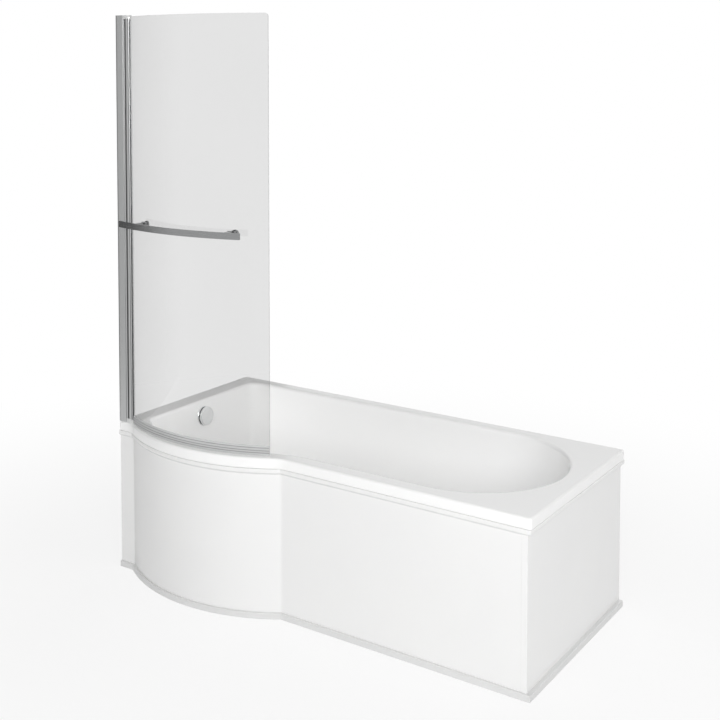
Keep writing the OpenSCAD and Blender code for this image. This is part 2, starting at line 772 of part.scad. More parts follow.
// Corrugated hose: a ribbed drop that is cuffed on to a plain bend and run
module overflow_hose() {
  color("lightgray") in_frame() difference() {
    union() {
      on_drop() rotate_extrude() polygon(concat(
        [[0, -3], [cuff_r, -3], [cuff_r, 1], [hose_r, 1]],
        [for (i = [0:rib_count - 1]) each [[hose_r, i * rib_pitch + 2], [rib_r, i * rib_pitch + 3],
          [rib_r, i * rib_pitch + 6], [hose_r, i * rib_pitch + 7]]],
        [[hose_r, hose_top - drop_z], [0, hose_top - drop_z]]));
      along_bend() circle(hose_r);
      along_run(hose_r);
    }
    union() {
      on_drop() translate([0, 0, -1]) cylinder(r = drop_bore, h = hose_top - drop_z + 2);
      along_bend() circle(hose_bore);
      along_run(hose_bore);
    }
  }
}

cable_r = 1.6;

// Push-pull cable that joins the cover to the plug, inside the hose
module lift_cable() {
  color("gray") in_frame() {
    on_drop() cylinder(r = cable_r, h = hose_top - drop_z);
    along_bend() circle(cable_r);
    along_run(cable_r);
  }
}

// ================= screen: fixed side =================

screw_hole_r = 2.75;
screw_z = [for (i = [0:3]) screen_z0 + 80 + i * 450];

// Runs a section of the screen's plan straight up
module upright(z0, z1) {
  in_frame() translate([0, 0, z0]) linear_extrude(z1 - z0) children();
}

// U-shaped wall channel with four fixing holes through its web
module wall_channel() {
  color("silver") difference() {
    upright(screen_z0, screen_z1) difference() {
      translate([0, screen_y - channel_w / 2]) square([channel_x, channel_w]);
      translate([channel_t, screen_y - channel_w / 2 + channel_t])
        square([channel_x, channel_w - 2 * channel_t]);
    }
    for (z = screw_z) in_frame() translate([-1, screen_y, z]) rotate([0, 90, 0])
      cylinder(r = screw_hole_r, h = channel_t + 2);
  }
}

adjuster_x = [12, 44.5];
adjuster_w = 20;
adjuster_t = 1.5;
cap_x = channel_x + 0.4;

// Box section that slides in the channel to take up a wall that is out of true
module adjuster_profile() {
  color("silver") upright(screen_z0 + cap_h + 1, screen_z1 - cap_h) difference() {
    translate([adjuster_x[0], screen_y - adjuster_w / 2])
      square([adjuster_x[1] - adjuster_x[0], adjuster_w]);
    translate([adjuster_x[0] + adjuster_t, screen_y - adjuster_w / 2 + adjuster_t])
      square([adjuster_x[1] - adjuster_x[0] - 2 * adjuster_t, adjuster_w - 2 * adjuster_t]);
  }
}

// Plan of a hinge cap: a block over the adjuster with a round end over the pivot
module cap_plan(x0, w) {
  translate([x0, screen_y - w / 2]) square([pivot_x - x0, w]);
  translate(pivot) circle(w / 2);
}

module hinge_cap_top() {
  color("gainsboro") difference() {
    union() {
      upright(screen_z1 - cap_h, screen_z1) cap_plan(cap_x, 2 * clamp_r);
      upright(screen_z1 - cap_h - 10, screen_z1 - cap_h + 1)
        translate([adjuster_x[0] + adjuster_t, screen_y - adjuster_w / 2 + adjuster_t])
        square([adjuster_x[1] - adjuster_x[0] - 2 * adjuster_t, adjuster_w - 2 * adjuster_t]);
      upright(screen_z1 - cap_h, screen_z1 - cap_h + 8)
        translate([adjuster_x[0] + adjuster_t, screen_y - adjuster_w / 2 + adjuster_t])
        square([cap_x - adjuster_x[0], adjuster_w - 2 * adjuster_t]);
    }
    in_frame() translate([pivot.x, pivot.y, screen_z1 - cap_h - 1]) cylinder(r = pin_r, h = 10);
  }
}

module hinge_cap_bottom() {
  color("gainsboro") difference() {
    upright(screen_z0, screen_z0 + cap_h) cap_plan(adjuster_x[0], adjuster_w);
    in_frame() translate([pivot.x, pivot.y, screen_z0 + cap_h - 9]) cylinder(r = pin_r, h = 10);
  }
}

pin_l = 30;
pin_seat = 9;

module pivot_pin_top() {
  color("silver") in_frame() translate([pivot.x, pivot.y, screen_z1 - cap_h + pin_seat - pin_l])
    cylinder(r = pin_r, h = pin_l);
}

module pivot_pin_bottom() {
  color("silver") in_frame() translate([pivot.x, pivot.y, screen_z0 + cap_h - pin_seat])
    cylinder(r = pin_r, h = pin_l);
}

hinge_play = 0.6;
clamp_z0 = screen_z0 + cap_h + hinge_play;
clamp_z1 = screen_z1 - cap_h - hinge_play;

// Soft strip that closes the seam between the adjuster and the turning profile
module hinge_seal() {
  color("dimgray") upright(clamp_z0, clamp_z1) for (side = [-1, 1])
    translate([adjuster_x[1], screen_y + side * 8 - 0.8]) square([2.4, 1.6]);
}

// ================= screen: turning side =================

jaw_back = 9;
jaw_l = 12;
jaw_w = 15;
slot_from = -2;
gasket_t = 1;

// Turns a plan drawn along +X so that it follows the glass where that leaves the hinge
module on_jaw() {
  translate(glass_from) rotate(jaw_turn) children();
}

// Round bead with a jaw that grips the edge of the glass, bored for the pivot pins
module clamp_profile() {
  color("silver") difference() {
    upright(clamp_z0, clamp_z1) difference() {
      union() {
        translate(pivot) circle(clamp_r);
        on_jaw() translate([-jaw_back, -jaw_w / 2]) square([jaw_back + jaw_l, jaw_w]);
      }
      on_jaw() translate([slot_from, -glass_t / 2 - gasket_t])
        square([jaw_l - slot_from + 1, glass_t + 2 * gasket_t]);
    }
    in_frame() translate([pivot.x, pivot.y, clamp_z0 - 1])
      cylinder(r = pin_r + running, h = clamp_z1 - clamp_z0 + 2);
  }
}

// Runs a section round the glass's own arc: x is the radius, y is the height
module along_glass(from, to) {
  in_frame() translate([glass_c.x, glass_c.y, 0]) rotate([0, 0, from])
    rotate_extrude(angle = to - from, $fn = 256) children();
}

// Angle on the glass's arc at a distance along it from the hinge
function glass_at(s) = glass_a0 + s / glass_r * 180 / PI;
glass_start = glass_at(4);

// Soft strips on both faces of the glass inside the jaw
module glazing_gasket() {
  color("dimgray") along_glass(glass_start, glass_at(jaw_l)) for (side = [-1, 1])
    translate([glass_r + side * (glass_t / 2 + 0.45) - 0.4, clamp_z0]) square([0.8, clamp_z1 - clamp_z0]);
}

corner_r = 12;
post_hole_r = 4;

// The cutter for the glass's rounded top corner at its free edge
module corner_cut() {
  in_frame() translate([glass_c.x, glass_c.y, 0]) rotate([0, 0, glass_a1])
    translate([glass_r, 0, glass_z1]) rotate([0, 90, 0]) translate([0, 0, -20]) linear_extrude(40)
      difference() {
        translate([-1, -corner_r]) square([corner_r + 1, corner_r + 1]);
        translate([corner_r, -corner_r]) circle(corner_r);
      }
}

// Bent toughened glass with two holes for the rail
module glass_panel() {
  color("lightcyan", 0.4) difference() {
    along_glass(glass_start, glass_a1) translate([glass_in_r, glass_z0])
      square([glass_t, glass_z1 - glass_z0]);
    corner_cut();
    for (x = post_x) in_frame() post_rod(x, post_hole_r);
  }
}

grip_t = 1.6;
fin_t = 1.2;
grip_half = glass_t / 2 + 0.1;
seal_half = grip_half + grip_t;
rib_at = [8.6, 16.5, 26];

// Strip pushed on to the foot of the glass: a grip, three wiping fins and ribs on its outside
module bottom_seal() {
  color("lightgray", 0.7) along_glass(glass_at(18), glass_a1) {
    translate([glass_r - seal_half, glass_z0 - 2]) square([2 * seal_half, 1.9]);
    for (x = [-seal_half, grip_half]) translate([glass_r + x, glass_z0 - 1])
      square([grip_t, seal_top - glass_z0 + 1]);
    for (x = [-seal_half, -fin_t / 2, seal_half - fin_t]) translate([glass_r + x, seal_low])
      square([fin_t, glass_z0 - 1 - seal_low]);
    for (rise = rib_at) translate([glass_r + seal_half - 0.2, rim_z + rise]) square([0.9, 1.6]);
  }
}

// ================= towel rail =================

post_rise = 4;
rail_a = asin(rail_half / rail_r);

// Flat bar bent to a gentle bow
module rail_bar() {
  color("gray") in_frame() translate([rail_c.x, rail_c.y, 0]) rotate([0, 0, -90 - rail_a])
    rotate_extrude(angle = 2 * rail_a, $fn = 256)
      translate([rail_r - rail_t / 2, rail_z - rail_h / 2]) square([rail_t, rail_h]);
}

washer_t = 1;
post_screw_r = 3;

// Round block of the glass's curve, used to trim the posts and caps to its faces
module glass_round(r) {
  translate([glass_c.x, glass_c.y, rail_z - 50]) cylinder(r = r, h = 100, $fn = 256);
}

module rail_round(r) {
  translate([rail_c.x, rail_c.y, rail_z - 60]) cylinder(r = r, h = 120, $fn = 256);
}

// Post from the back of the bar to the glass, with a wider foot at the glass
module rail_bracket(x) {
  color("gray") in_frame() difference() {
    intersection() {
      rail_round(rail_r - rail_t / 2);
      union() {
        translate([x - post_w / 2, -880, rail_z + post_rise - post_h / 2])
          cube([post_w, 130, post_h]);
        intersection() {
          translate([x - foot_w / 2, -880, rail_z + post_rise - post_h / 2 - 1])
            cube([foot_w, 130, post_h + 2]);
          glass_round(glass_out_r + 12);
        }
      }
    }
    glass_round(glass_out_r + washer_t);
    rail_screw(x);
  }
}

module rail_bracket_left() { rail_bracket(post_x[0]); }
module rail_bracket_right() { rail_bracket(post_x[1]); }

// What lies between two radii of the glass's curve, near the screws' height
module glass_band(r0, r1) {
  difference() {
    glass_round(r1);
    glass_round(r0);
  }
}

// Rod along Y through a post's middle
module post_rod(x, r) {
  translate([x, -bath_w, rail_z + post_rise]) rotate([90, 0, 0])
    cylinder(r = r, h = 200, center = true);
}

module rail_screw(x) {
  intersection() {
    post_rod(x, post_screw_r);
    glass_band(glass_in_r - 5, glass_out_r + 25);
  }
}

// Machine screws through the glass into the posts
module rail_screws() {
  color("silver") in_frame() for (x = post_x) rail_screw(x);
}

// Round caps over the screws' heads on the shower side
module rail_caps() {
  color("gray") in_frame() for (x = post_x) difference() {
    intersection() {
      post_rod(x, 11);
      glass_band(glass_in_r - washer_t - 8, glass_in_r - washer_t);
    }
    rail_screw(x);
  }
}

// Soft washers on both faces of the glass
module rail_washers() {
  color("dimgray") in_frame() for (x = post_x, r = [glass_out_r, glass_in_r - washer_t])
    intersection() {
      difference() {
        post_rod(x, 10);
        post_rod(x, post_hole_r);
      }
      glass_band(r, r + washer_t);
    }
}

bath_shell();
base_board();
rim_batten_back();
rim_batten_front();
rim_batten_end();
cross_bar_tap();
cross_bar_head();
centre_plate();
foot_1();
foot_2();
foot_3();
foot_4();
foot_5();
stud_1();
stud_2();
stud_3();
stud_4();
stud_5();
lock_nuts();
frame_screws();
wall_bracket_1();
wall_bracket_2();
wall_bracket_3();
front_panel();
end_panel();
front_plinth();
end_plinth();
panel_clips();
waste_flange();
waste_seal();
waste_body();
waste_plug();
plug_ring();
overflow_face();
overflow_dial();
overflow_seal();
overflow_body();
overflow_hose();
lift_cable();
wall_channel();
adjuster_profile();
hinge_cap_top();
hinge_cap_bottom();
pivot_pin_top();
pivot_pin_bottom();
hinge_seal();
clamp_profile();
glazing_gasket();
glass_panel();
bottom_seal();
rail_bar();
rail_bracket_left();
rail_bracket_right();
rail_screws();
rail_caps();
rail_washers();
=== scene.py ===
import math

import bmesh
import bpy
import numpy as np
from mathutils import Matrix, Vector


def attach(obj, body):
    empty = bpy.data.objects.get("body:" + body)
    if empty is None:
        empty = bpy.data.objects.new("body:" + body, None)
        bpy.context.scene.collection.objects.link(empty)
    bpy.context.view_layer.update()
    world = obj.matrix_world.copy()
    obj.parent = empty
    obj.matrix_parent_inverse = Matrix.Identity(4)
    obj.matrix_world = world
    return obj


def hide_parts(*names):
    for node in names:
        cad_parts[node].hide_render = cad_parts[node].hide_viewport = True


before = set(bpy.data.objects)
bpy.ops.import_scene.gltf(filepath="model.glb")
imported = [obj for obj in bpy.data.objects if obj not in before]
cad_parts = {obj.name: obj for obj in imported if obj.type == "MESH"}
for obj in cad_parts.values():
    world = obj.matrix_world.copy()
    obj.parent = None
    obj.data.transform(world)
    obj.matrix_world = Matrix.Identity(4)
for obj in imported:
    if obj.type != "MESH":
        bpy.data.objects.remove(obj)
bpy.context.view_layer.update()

# ---------------- Bath shell ----------------
# The tub, rim and skirt are one sheet of cast acrylic, vacuum-formed over a mould and backed with
# sprayed glass fibre. Sizes are millimetres in the bath's own plan: X runs from the tap-end wall,
# Y falls from 0 at the back wall to the front, and Z rises from the floor.


def row(points):
    """Points of the bath's plan, in millimetres, as points of the row frame, in metres."""
    return (np.asarray(points, float).reshape(-1, 3) + (-850, 435, 0)) / 1000


rim_z = 560
bath_l, bath_w, bulge_depth = 1700, 750, 105
bulge_from, bulge_to = 65, 765
skirt_h, shell_t, roll_r, edge_r = 36, 6, 12, 8
bulge_half = (bulge_to - bulge_from) / 2
bulge_r = (bulge_half**2 + bulge_depth**2) / (2 * bulge_depth)
bulge_c = np.array([(bulge_from + bulge_to) / 2, bulge_r - bath_w - bulge_depth])


def arc(centre, r, start, end, n, last=False):
    """n points round an arc given in degrees, and its last one if asked for."""
    a = np.radians(start + (end - start) * np.arange(n + last) / n)
    return np.asarray(centre) + r * np.stack([np.cos(a), np.sin(a)], 1)


def line(p, q, n):
    """n points from p towards q."""
    return np.asarray(p, float) + np.outer(np.arange(n) / n, np.subtract(q, p))


def rim_outline(d):
    """The rim's plan moved inwards by d, anticlockwise from the front left corner."""
    c, r, level = max(8 - d, 1), 90, -bath_w - 90
    across = math.sqrt((bulge_r + r) ** 2 - (level - bulge_c[1]) ** 2)
    turn = math.degrees(math.atan2(level - bulge_c[1], across))
    left, right = (bulge_c[0] - across, level), (bulge_c[0] + across, level)
    x0, x1, y0, y1 = d, bath_l - d, d - bath_w, -d
    return np.concatenate([
        line((x0 + c, y0), (left[0], y0), 8),
        arc(left, r + d, 90, -turn, 14),
        arc(bulge_c, bulge_r - d, -180 - turn, turn, 90),
        arc(right, r + d, 180 + turn, 90, 14),
        line((right[0], y0), (x1 - c, y0), 64),
        arc((x1 - c, y0 + c), c, -90, 0, 8),
        line((x1, y0 + c), (x1, y1 - c), 52),
        arc((x1 - c, y1 - c), c, 0, 90, 8),
        line((x1 - c, y1), (x0 + c, y1), 88),
        arc((x0 + c, y1 - c), c, 90, 180, 8),
        line((x0, y1 - c), (x0, y0 + c), 52),
        arc((x0 + c, y0 + c), c, 180, 270, 8),
    ])


hub = np.array([750.0, -395.0])
rays = rim_outline(0) - hub
rays /= np.linalg.norm(rays, axis=1)[:, None]
# The basin's lines at the rim and at the floor
basin_left, basin_right = (85, 172), (1629, 1210)
basin_back, basin_front = (-57, -165), (-685, -590)
bulge_wall = (bulge_r - 70, bulge_r - 185)
head_curve = (332, 240)
basin_mid = (basin_back[0] + basin_front[0]) / 2
waste = (250, basin_mid)
basin_deep = 400
floor_z = rim_z - basin_deep
# The two middle handles of the wall's run inwards and downwards
wall_in, wall_down = (0.22, 0.36), (0.72, 1)
far = 5000
under_z = floor_z - shell_t


def softly(a, b, k):
    """The lesser of a and b, blended over k where they are close."""
    return np.minimum(a, b) - np.maximum(k - np.abs(a - b), 0) ** 2 / (4 * k)


def to_oval(centre, rx, ry):
    """Distance from the hub along each ray to the far side of an oval."""
    p, q = (hub - centre) / (rx, ry), rays / (rx, ry)
    b, qq = q @ p, (q * q).sum(1)
    return (np.sqrt(np.maximum(b * b - qq * (p @ p - 1), 0)) - b) / qq


def to_level(axis, at):
    """Distance from the hub along each ray to a line of constant x or y."""
    d = (at - hub[axis]) / rays[:, axis]
    return np.where(d > 0, d, far)


def basin_reach(a, grow=0.0):
    """Distance from the hub to the basin's wall: a is 0 at the rim and 1 at the floor."""
    x0, x1, y0, y1, wall, head = (
        p[0] + (p[1] - p[0]) * a
        for p in (basin_left, basin_right, basin_front, basin_back, bulge_wall, head_curve)
    )
    x0, x1, y0, y1, wall = x0 - grow, x1 + grow, y0 - grow, y1 + grow, wall + grow
    front = -softly(-to_level(1, y0), -np.minimum(to_oval(bulge_c, wall, wall), far), 70)
    side = np.where(rays[:, 1] > 0, to_level(1, y1), front)
    at_head = (rays[:, 0] > 0) & (hub[0] + np.minimum(side, far) * rays[:, 0] > x1 - head)
    oval = to_oval(np.array([x1 - head, (y0 + y1) / 2]), head, (y1 - y0) / 2)
    return np.where(at_head, oval, softly(side, to_level(0, x0), 95))


def ring(plan, z):
    """A closed ring of points at a height, or at a height for each."""
    return np.column_stack([plan, np.broadcast_to(z, len(plan))])


def along_rays(distance):
    """Plan points at a distance along each ray."""
    return hub + distance[:, None] * rays


def floor_fall(x):
    """The floor's rise away from the waste, 9 mm in a metre."""
    return 9 * (x - waste[0]) / 1000


def wall_share(s, first, second):
    """One cubic curve from 0 to 1 with its two middle handles."""
    return 3 * (1 - s) ** 2 * s * first + 3 * (1 - s) * s * s * second + s**3


shell_rings = []
for share in (0.25, 0.5, 0.75, 0.9):
    plan = along_rays(share * basin_reach(1))
    shell_rings.append(ring(plan, floor_z + floor_fall(plan[:, 0])))
for s in np.linspace(1, 0, 45):
    plan = along_rays(basin_reach(wall_share(s, *wall_in)))
    deep = (basin_deep - floor_fall(plan[:, 0]) - roll_r) * wall_share(s, *wall_down)
    shell_rings.append(ring(plan, rim_z - roll_r - deep))
for t in np.radians((75, 60, 45, 30, 15, 0)):
    plan = along_rays(basin_reach(0, roll_r - roll_r * math.sin(t)))
    shell_rings.append(ring(plan, rim_z - roll_r + roll_r * math.cos(t)))
inner_flat, outer_flat = along_rays(basin_reach(0, roll_r)), rim_outline(edge_r)
for share in (0.06, 0.5, 0.94):
    shell_rings.append(ring(inner_flat + share * (outer_flat - inner_flat), rim_z))
for t in np.radians((0, 15, 30, 45, 60, 75, 90)):
    plan = rim_outline(edge_r - edge_r * math.sin(t))
    shell_rings.append(ring(plan, rim_z - edge_r + edge_r * math.cos(t)))
for t in np.radians((0, 45, 90, 135, 180)):
    plan = rim_outline(shell_t / 2 * (1 - math.cos(t)))
    shell_rings.append(ring(plan, rim_z - skirt_h + 2 - 2 * math.sin(t)))
show_rings = len(shell_rings)
for t in np.radians((90, 45, 0)):
    plan = rim_outline(edge_r - 2 * math.sin(t))
    shell_rings.append(ring(plan, rim_z - edge_r + 2 * math.cos(t)))
for t in np.radians((0, 30, 60)):
    plan = along_rays(basin_reach(0, roll_r - 6 * math.sin(t)))
    shell_rings.append(ring(plan, rim_z - roll_r + 6 * math.cos(t)))
for s in np.linspace(0, 1, 22):
    plan = along_rays(basin_reach(wall_share(s, *wall_in), shell_t))
    deep = (basin_deep + shell_t - roll_r) * wall_share(s, *wall_down)
    shell_rings.append(ring(plan, rim_z - roll_r - deep))
shell_rings.append(ring(along_rays(0.5 * basin_reach(1, shell_t)), under_z))


def new_piece(name, data):
    """A new object in the scene, with its mesh, curve, lamp or camera."""
    piece = bpy.data.objects.new(name, data)
    bpy.context.scene.collection.objects.link(piece)
    return piece


def solid(name, verts, faces, slots=None):
    """A new piece of a closed mesh, in metres, turned inside out if its faces look inwards."""
    verts = np.asarray(verts, float)
    inside = 0.0
    for f in faces:
        a = verts[f[0]]
        for p, q in zip(f[1:], f[2:]):
            inside += np.dot(a, np.cross(verts[p], verts[q]))
    mesh = bpy.data.meshes.new(name)
    mesh.from_pydata(verts.tolist(), [], [f if inside > 0 else f[::-1] for f in faces])
    if slots is not None:
        mesh.polygons.foreach_set("material_index", slots)
    mesh.update()
    return new_piece(name, mesh)


n = len(rays)
verts = [(hub[0], hub[1], floor_z + floor_fall(hub[0]))]
verts += [tuple(p) for one in shell_rings for p in one]
verts.append((hub[0], hub[1], under_z))
faces, slots = [], []
for i in range(n):
    j = (i + 1) % n
    faces.append([0, 1 + i, 1 + j])
    slots.append(0)
    for k in range(len(shell_rings) - 1):
        a, b = 1 + k * n + i, 1 + k * n + j
        faces.append([a, a + n, b + n, b])
        slots.append(0 if k < show_rings - 1 else 1)
    last = len(verts) - 1
    faces.append([last, last - n + j, last - n + i])
    slots.append(1)
shell = solid("bath_tub", row(verts), faces, slots)


def turned(name, profile, steps=64):
    """A closed profile of (radius, height) turned round Z, in metres at the origin."""
    a = np.linspace(0, 2 * math.pi, steps, endpoint=False)
    verts, index, faces = [], [], []
    for r, z in profile:
        if r < 1e-9:
            index.append([len(verts)] * steps)
            verts.append((0, 0, z))
        else:
            index.append(list(range(len(verts), len(verts) + steps)))
            verts += [(r * c, r * s, z) for c, s in zip(np.cos(a), np.sin(a))]
    for p, q in zip(index, index[1:] + index[:1]):
        for i in range(steps):
            j = (i + 1) % steps
            face = list(dict.fromkeys([p[i], p[j], q[j], q[i]]))
            if len(face) > 2:
                faces.append(face)
    return solid(name, np.array(verts) / 1000, faces)


def rounded(corners, steps=4):
    """Closed outline through corners of (x, y, radius), each rounded on its own radius."""
    out = []
    for i, (x, y, r) in enumerate(corners):
        p = np.array([x, y], float)
        if r <= 0:
            out.append(p)
            continue
        a = np.subtract(corners[i - 1][:2], p)
        b = np.subtract(corners[(i + 1) % len(corners)][:2], p)
        a, b = a / np.linalg.norm(a), b / np.linalg.norm(b)
        half = math.acos(max(-1, min(1, float(a @ b)))) / 2
        centre = p + (a + b) / np.linalg.norm(a + b) * r / math.sin(half)
        start, end = p + a * r / math.tan(half) - centre, p + b * r / math.tan(half) - centre
        first = math.atan2(start[1], start[0])
        sweep = (math.atan2(end[1], end[0]) - first + math.pi) % (2 * math.pi) - math.pi
        for a in first + sweep * np.arange(steps + 1) / steps:
            out.append(centre + r * np.array([math.cos(a), math.sin(a)]))
    return [tuple(p) for p in out]


def moved(piece, place):
    """Puts a piece's place into its mesh."""
    piece.data.transform(place)
    return piece


def at(x, y, z):
    """A place in the bath's plan, in millimetres."""
    return Matrix.Translation(row((x, y, z))[0])


def about(turn, axis="Z"):
    """A turn about an axis, in radians."""
    return Matrix.Rotation(turn, 4, axis)


def peg(r, low, high, steps=48):
    """A plain round cutter round Z, for a hole or a bore."""
    return turned("cutter", [(0, low), (r, low), (r, high), (0, high)], steps)


def baked(piece):
    """Turns what a piece's modifiers make into its own plain mesh."""
    bpy.context.view_layer.update()
    shown = piece.evaluated_get(bpy.context.evaluated_depsgraph_get())
    mesh = bpy.data.meshes.new_from_object(shown)
    if piece.type == "MESH":
        old = piece.data
        piece.modifiers.clear()
        piece.data = mesh
        bpy.data.meshes.remove(old)
        return piece
    name = piece.name
    bpy.data.objects.remove(piece)
    return new_piece(name, mesh)


def carved(piece, *cutters):
    """Cuts the cutters out of a piece, and removes them."""
    for cutter in cutters:
        cut = piece.modifiers.new("cut", "BOOLEAN")
        cut.operation, cut.solver, cut.object = "DIFFERENCE", "EXACT", cutter
    baked(piece)
    for cutter in cutters:
        bpy.data.objects.remove(cutter)
    return piece


def eased(piece, width=0.0, segments=2):
    """Rounds a piece's sharp edges by width in millimetres, and shades it with its flats kept."""
    bm = bmesh.new()
    bm.from_mesh(piece.data)
    if width:
        edges = [e for e in bm.edges
                 if e.is_manifold and e.calc_face_angle(0) > math.radians(30)]
        bmesh.ops.bevel(bm, geom=edges, offset=width / 1000, offset_type="OFFSET",
                        segments=segments, profile=0.5, affect="EDGES", clamp_overlap=True)
    for face in bm.faces:
        face.smooth = True
    for edge in bm.edges:
        edge.smooth = not (edge.is_manifold and edge.calc_face_angle(0) > math.radians(38))
    bm.to_mesh(piece.data)
    bm.free()
    level = piece.modifiers.new("level", "WEIGHTED_NORMAL")
    level.keep_sharp = True
    return baked(piece)


# The seats are pressed in, so their edges are eased where the cutters flare
waste_cut = turned("waste_cut", [
    (0, -60), (26, -60), (26, -3), (37.4, -3), (38, -2.2), (38, -1.2), (38.5, -0.4), (39.6, 0.1),
    (41.5, 0.6), (41.5, 20), (0, 20)], 96)
overflow_tilt = math.atan2((basin_left[1] - basin_left[0]) * wall_in[0],
                           (basin_deep - roll_r) * wall_down[0])
overflow_deep = 62
overflow_at = (basin_left[0] + (overflow_deep - roll_r) * math.tan(overflow_tilt) + 0.5, basin_mid,
               rim_z - overflow_deep)
# Local Z lies along the overflow's axis, out of the wall's face and into the basin
on_overflow = at(*overflow_at) @ about(math.pi / 2 - overflow_tilt, "Y")
overflow_cut = turned("overflow_cut", [
    (0, -30), (27, -30), (27, 0), (40.5, 0), (41, 0.6), (41.6, 1.4), (43.5, 2.4), (43.5, 12),
    (0, 12)], 96)
carved(shell, moved(waste_cut, at(*waste, floor_z)), moved(overflow_cut, on_overflow))
eased(shell)


def linear(code):
    """A linear colour from an sRGB hex value."""
    parts = [int(code[i:i + 2], 16) / 255 for i in (1, 3, 5)]
    return [c / 12.92 if c <= 0.04045 else ((c + 0.055) / 1.055) ** 2.4 for c in parts] + [1.0]


def add(tree, kind, given=()):
    """Adds a node and sets what it is given: a value, a hex colour, or a node or output to link."""
    node = tree.nodes.new(kind if "Node" in kind else "ShaderNode" + kind)
    for key, value in dict(given).items():
        if isinstance(value, str) and value.startswith("#"):
            value = linear(value)
        if isinstance(value, bpy.types.Node):
            value = next(output for output in value.outputs if output.enabled)
        if isinstance(value, bpy.types.NodeSocket):
            tree.links.new(value, node.inputs[key])
        elif isinstance(key, str) and key[0].islower():
            setattr(node, key, value)
        else:
            node.inputs[key].default_value = value
    return node


def new_finish(name):
    """An empty material, with its node tree and the coordinates of the object it is on."""
    made = bpy.data.materials.new(name)
    made.use_nodes = True
    tree = made.node_tree
    tree.nodes.clear()
    return made, tree, add(tree, "TexCoord").outputs["Object"]


# Cast acrylic sheet, vacuum-formed: a deep, even gloss with a faint ripple a hand's width long,
# where the hot sheet drew over the mould.
acrylic, tree, place = new_finish("cast_acrylic_formed")
tone = add(tree, "TexNoise", {"Scale": 4.0, "Detail": 2.0, "Vector": place})
colour = add(tree, "Mix", {"data_type": "RGBA", 6: "#F8F8F8", 7: "#FAFAF9", 0: tone})
ripple = add(tree, "TexNoise", {"Scale": 11.0, "Detail": 1.0, "Vector": place})
drawn = add(tree, "Bump", {"Strength": 0.06, "Distance": 0.004, "Height": ripple})
haze = add(tree, "TexNoise", {"Scale": 55.0, "Detail": 4.0, "Vector": place})
rough = add(tree, "MapRange", {"To Min": 0.09, "To Max": 0.15, "Value": haze})
shade = add(tree, "BsdfPrincipled", {
    "IOR": 1.49, "Base Color": colour, "Roughness": rough, "Normal": drawn})
add(tree, "OutputMaterial", {"Surface": shade})

# Sprayed glass-fibre laminate, rolled by hand: resin the colour of weak tea over white, with the
# strands, about 30 mm long, standing up under it.
laminate, tree, place = new_finish("glass_fibre_laminate_rolled")
strands = add(tree, "TexVoronoi", {"feature": "DISTANCE_TO_EDGE", "Scale": 70.0, "Vector": place})
patches = add(tree, "TexNoise", {"Scale": 14.0, "Detail": 5.0, "Roughness": 0.6, "Vector": place})
resin = add(tree, "Mix", {"data_type": "RGBA", 6: "#DEDCD0", 7: "#BFB99F", 0: patches})
edges = add(tree, "MapRange", {"From Max": 0.2, "To Min": 0.7, "To Max": 0.0, "Value": strands})
fibres = add(tree, "Mix", {"data_type": "RGBA", 7: "#F1F0EC", 0: edges, 6: resin})
lumps = add(tree, "Bump", {"Strength": 0.6, "Distance": 0.0012, "Height": patches})
mat = add(tree, "Bump", {"Strength": 0.35, "Distance": 0.0006, "Height": strands, "Normal": lumps})
shade = add(tree, "BsdfPrincipled", {
    "IOR": 1.55, "Roughness": 0.42, "Base Color": fibres, "Normal": mat})
add(tree, "OutputMaterial", {"Surface": shade})


def fitted(piece, body, finish, node):
    """Gives a piece its finish, body and slot, and hides the CAD node that it stands for."""
    piece.data.materials.clear()
    piece.data.materials.append(finish)
    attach(piece, body)
    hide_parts(node)


fitted(shell, "bath", acrylic, "bath_shell")
shell.data.materials.append(laminate)

# ---------------- Boards under the bath ----------------
# A chipboard panel stiffens the basin's floor and softwood battens stiffen the rim. They are sawn
# square, laid into the wet laminate and left raw.


def copied(node, width, segments=2, flat=1.0):
    """A piece that copies a CAD node's solid, cleaned to its real faces, with its edges eased."""
    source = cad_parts[node]
    bm = bmesh.new()
    bm.from_mesh(source.data)
    bmesh.ops.remove_doubles(bm, verts=bm.verts, dist=2e-6)
    bmesh.ops.dissolve_limit(bm, angle_limit=math.radians(flat), verts=bm.verts, edges=bm.edges)
    mesh = bpy.data.meshes.new(node + "_eased")
    bm.to_mesh(mesh)
    bm.free()
    return eased(new_piece(node + "_eased", mesh), width, segments)


# Raw chipboard: pressed chips 2 to 8 mm long, straw to brown, with no sheen at all.
chipboard, tree, place = new_finish("chipboard_raw_pressed")
longer = add(tree, "Mapping", {"Scale": (160, 330, 330), "Vector": place})
chips = add(tree, "TexVoronoi", {"Scale": 1.0, "Randomness": 1.0, "Vector": longer})
tones = add(tree, "ValToRGB", {"Fac": chips.outputs["Color"]})
tones.color_ramp.elements[0].color = linear("#9C7F56")
tones.color_ramp.elements[1].color = linear("#D9C29A")
middle = tones.color_ramp.elements.new(0.5)
middle.color = linear("#BFA276")
dust = add(tree, "TexNoise", {"Scale": 900.0, "Detail": 3.0, "Vector": place})
dusty = add(tree, "Mix", {
    "data_type": "RGBA", "blend_type": "MULTIPLY", 0: 0.35, 6: tones, 7: dust.outputs["Color"]})
pressed = add(tree, "Bump", {"Strength": 0.5, "Distance": 0.0004, "Height": chips})
shade = add(tree, "BsdfPrincipled", {
    "Roughness": 0.85, "IOR": 1.45, "Base Color": dusty, "Normal": pressed})
add(tree, "OutputMaterial", {"Surface": shade})

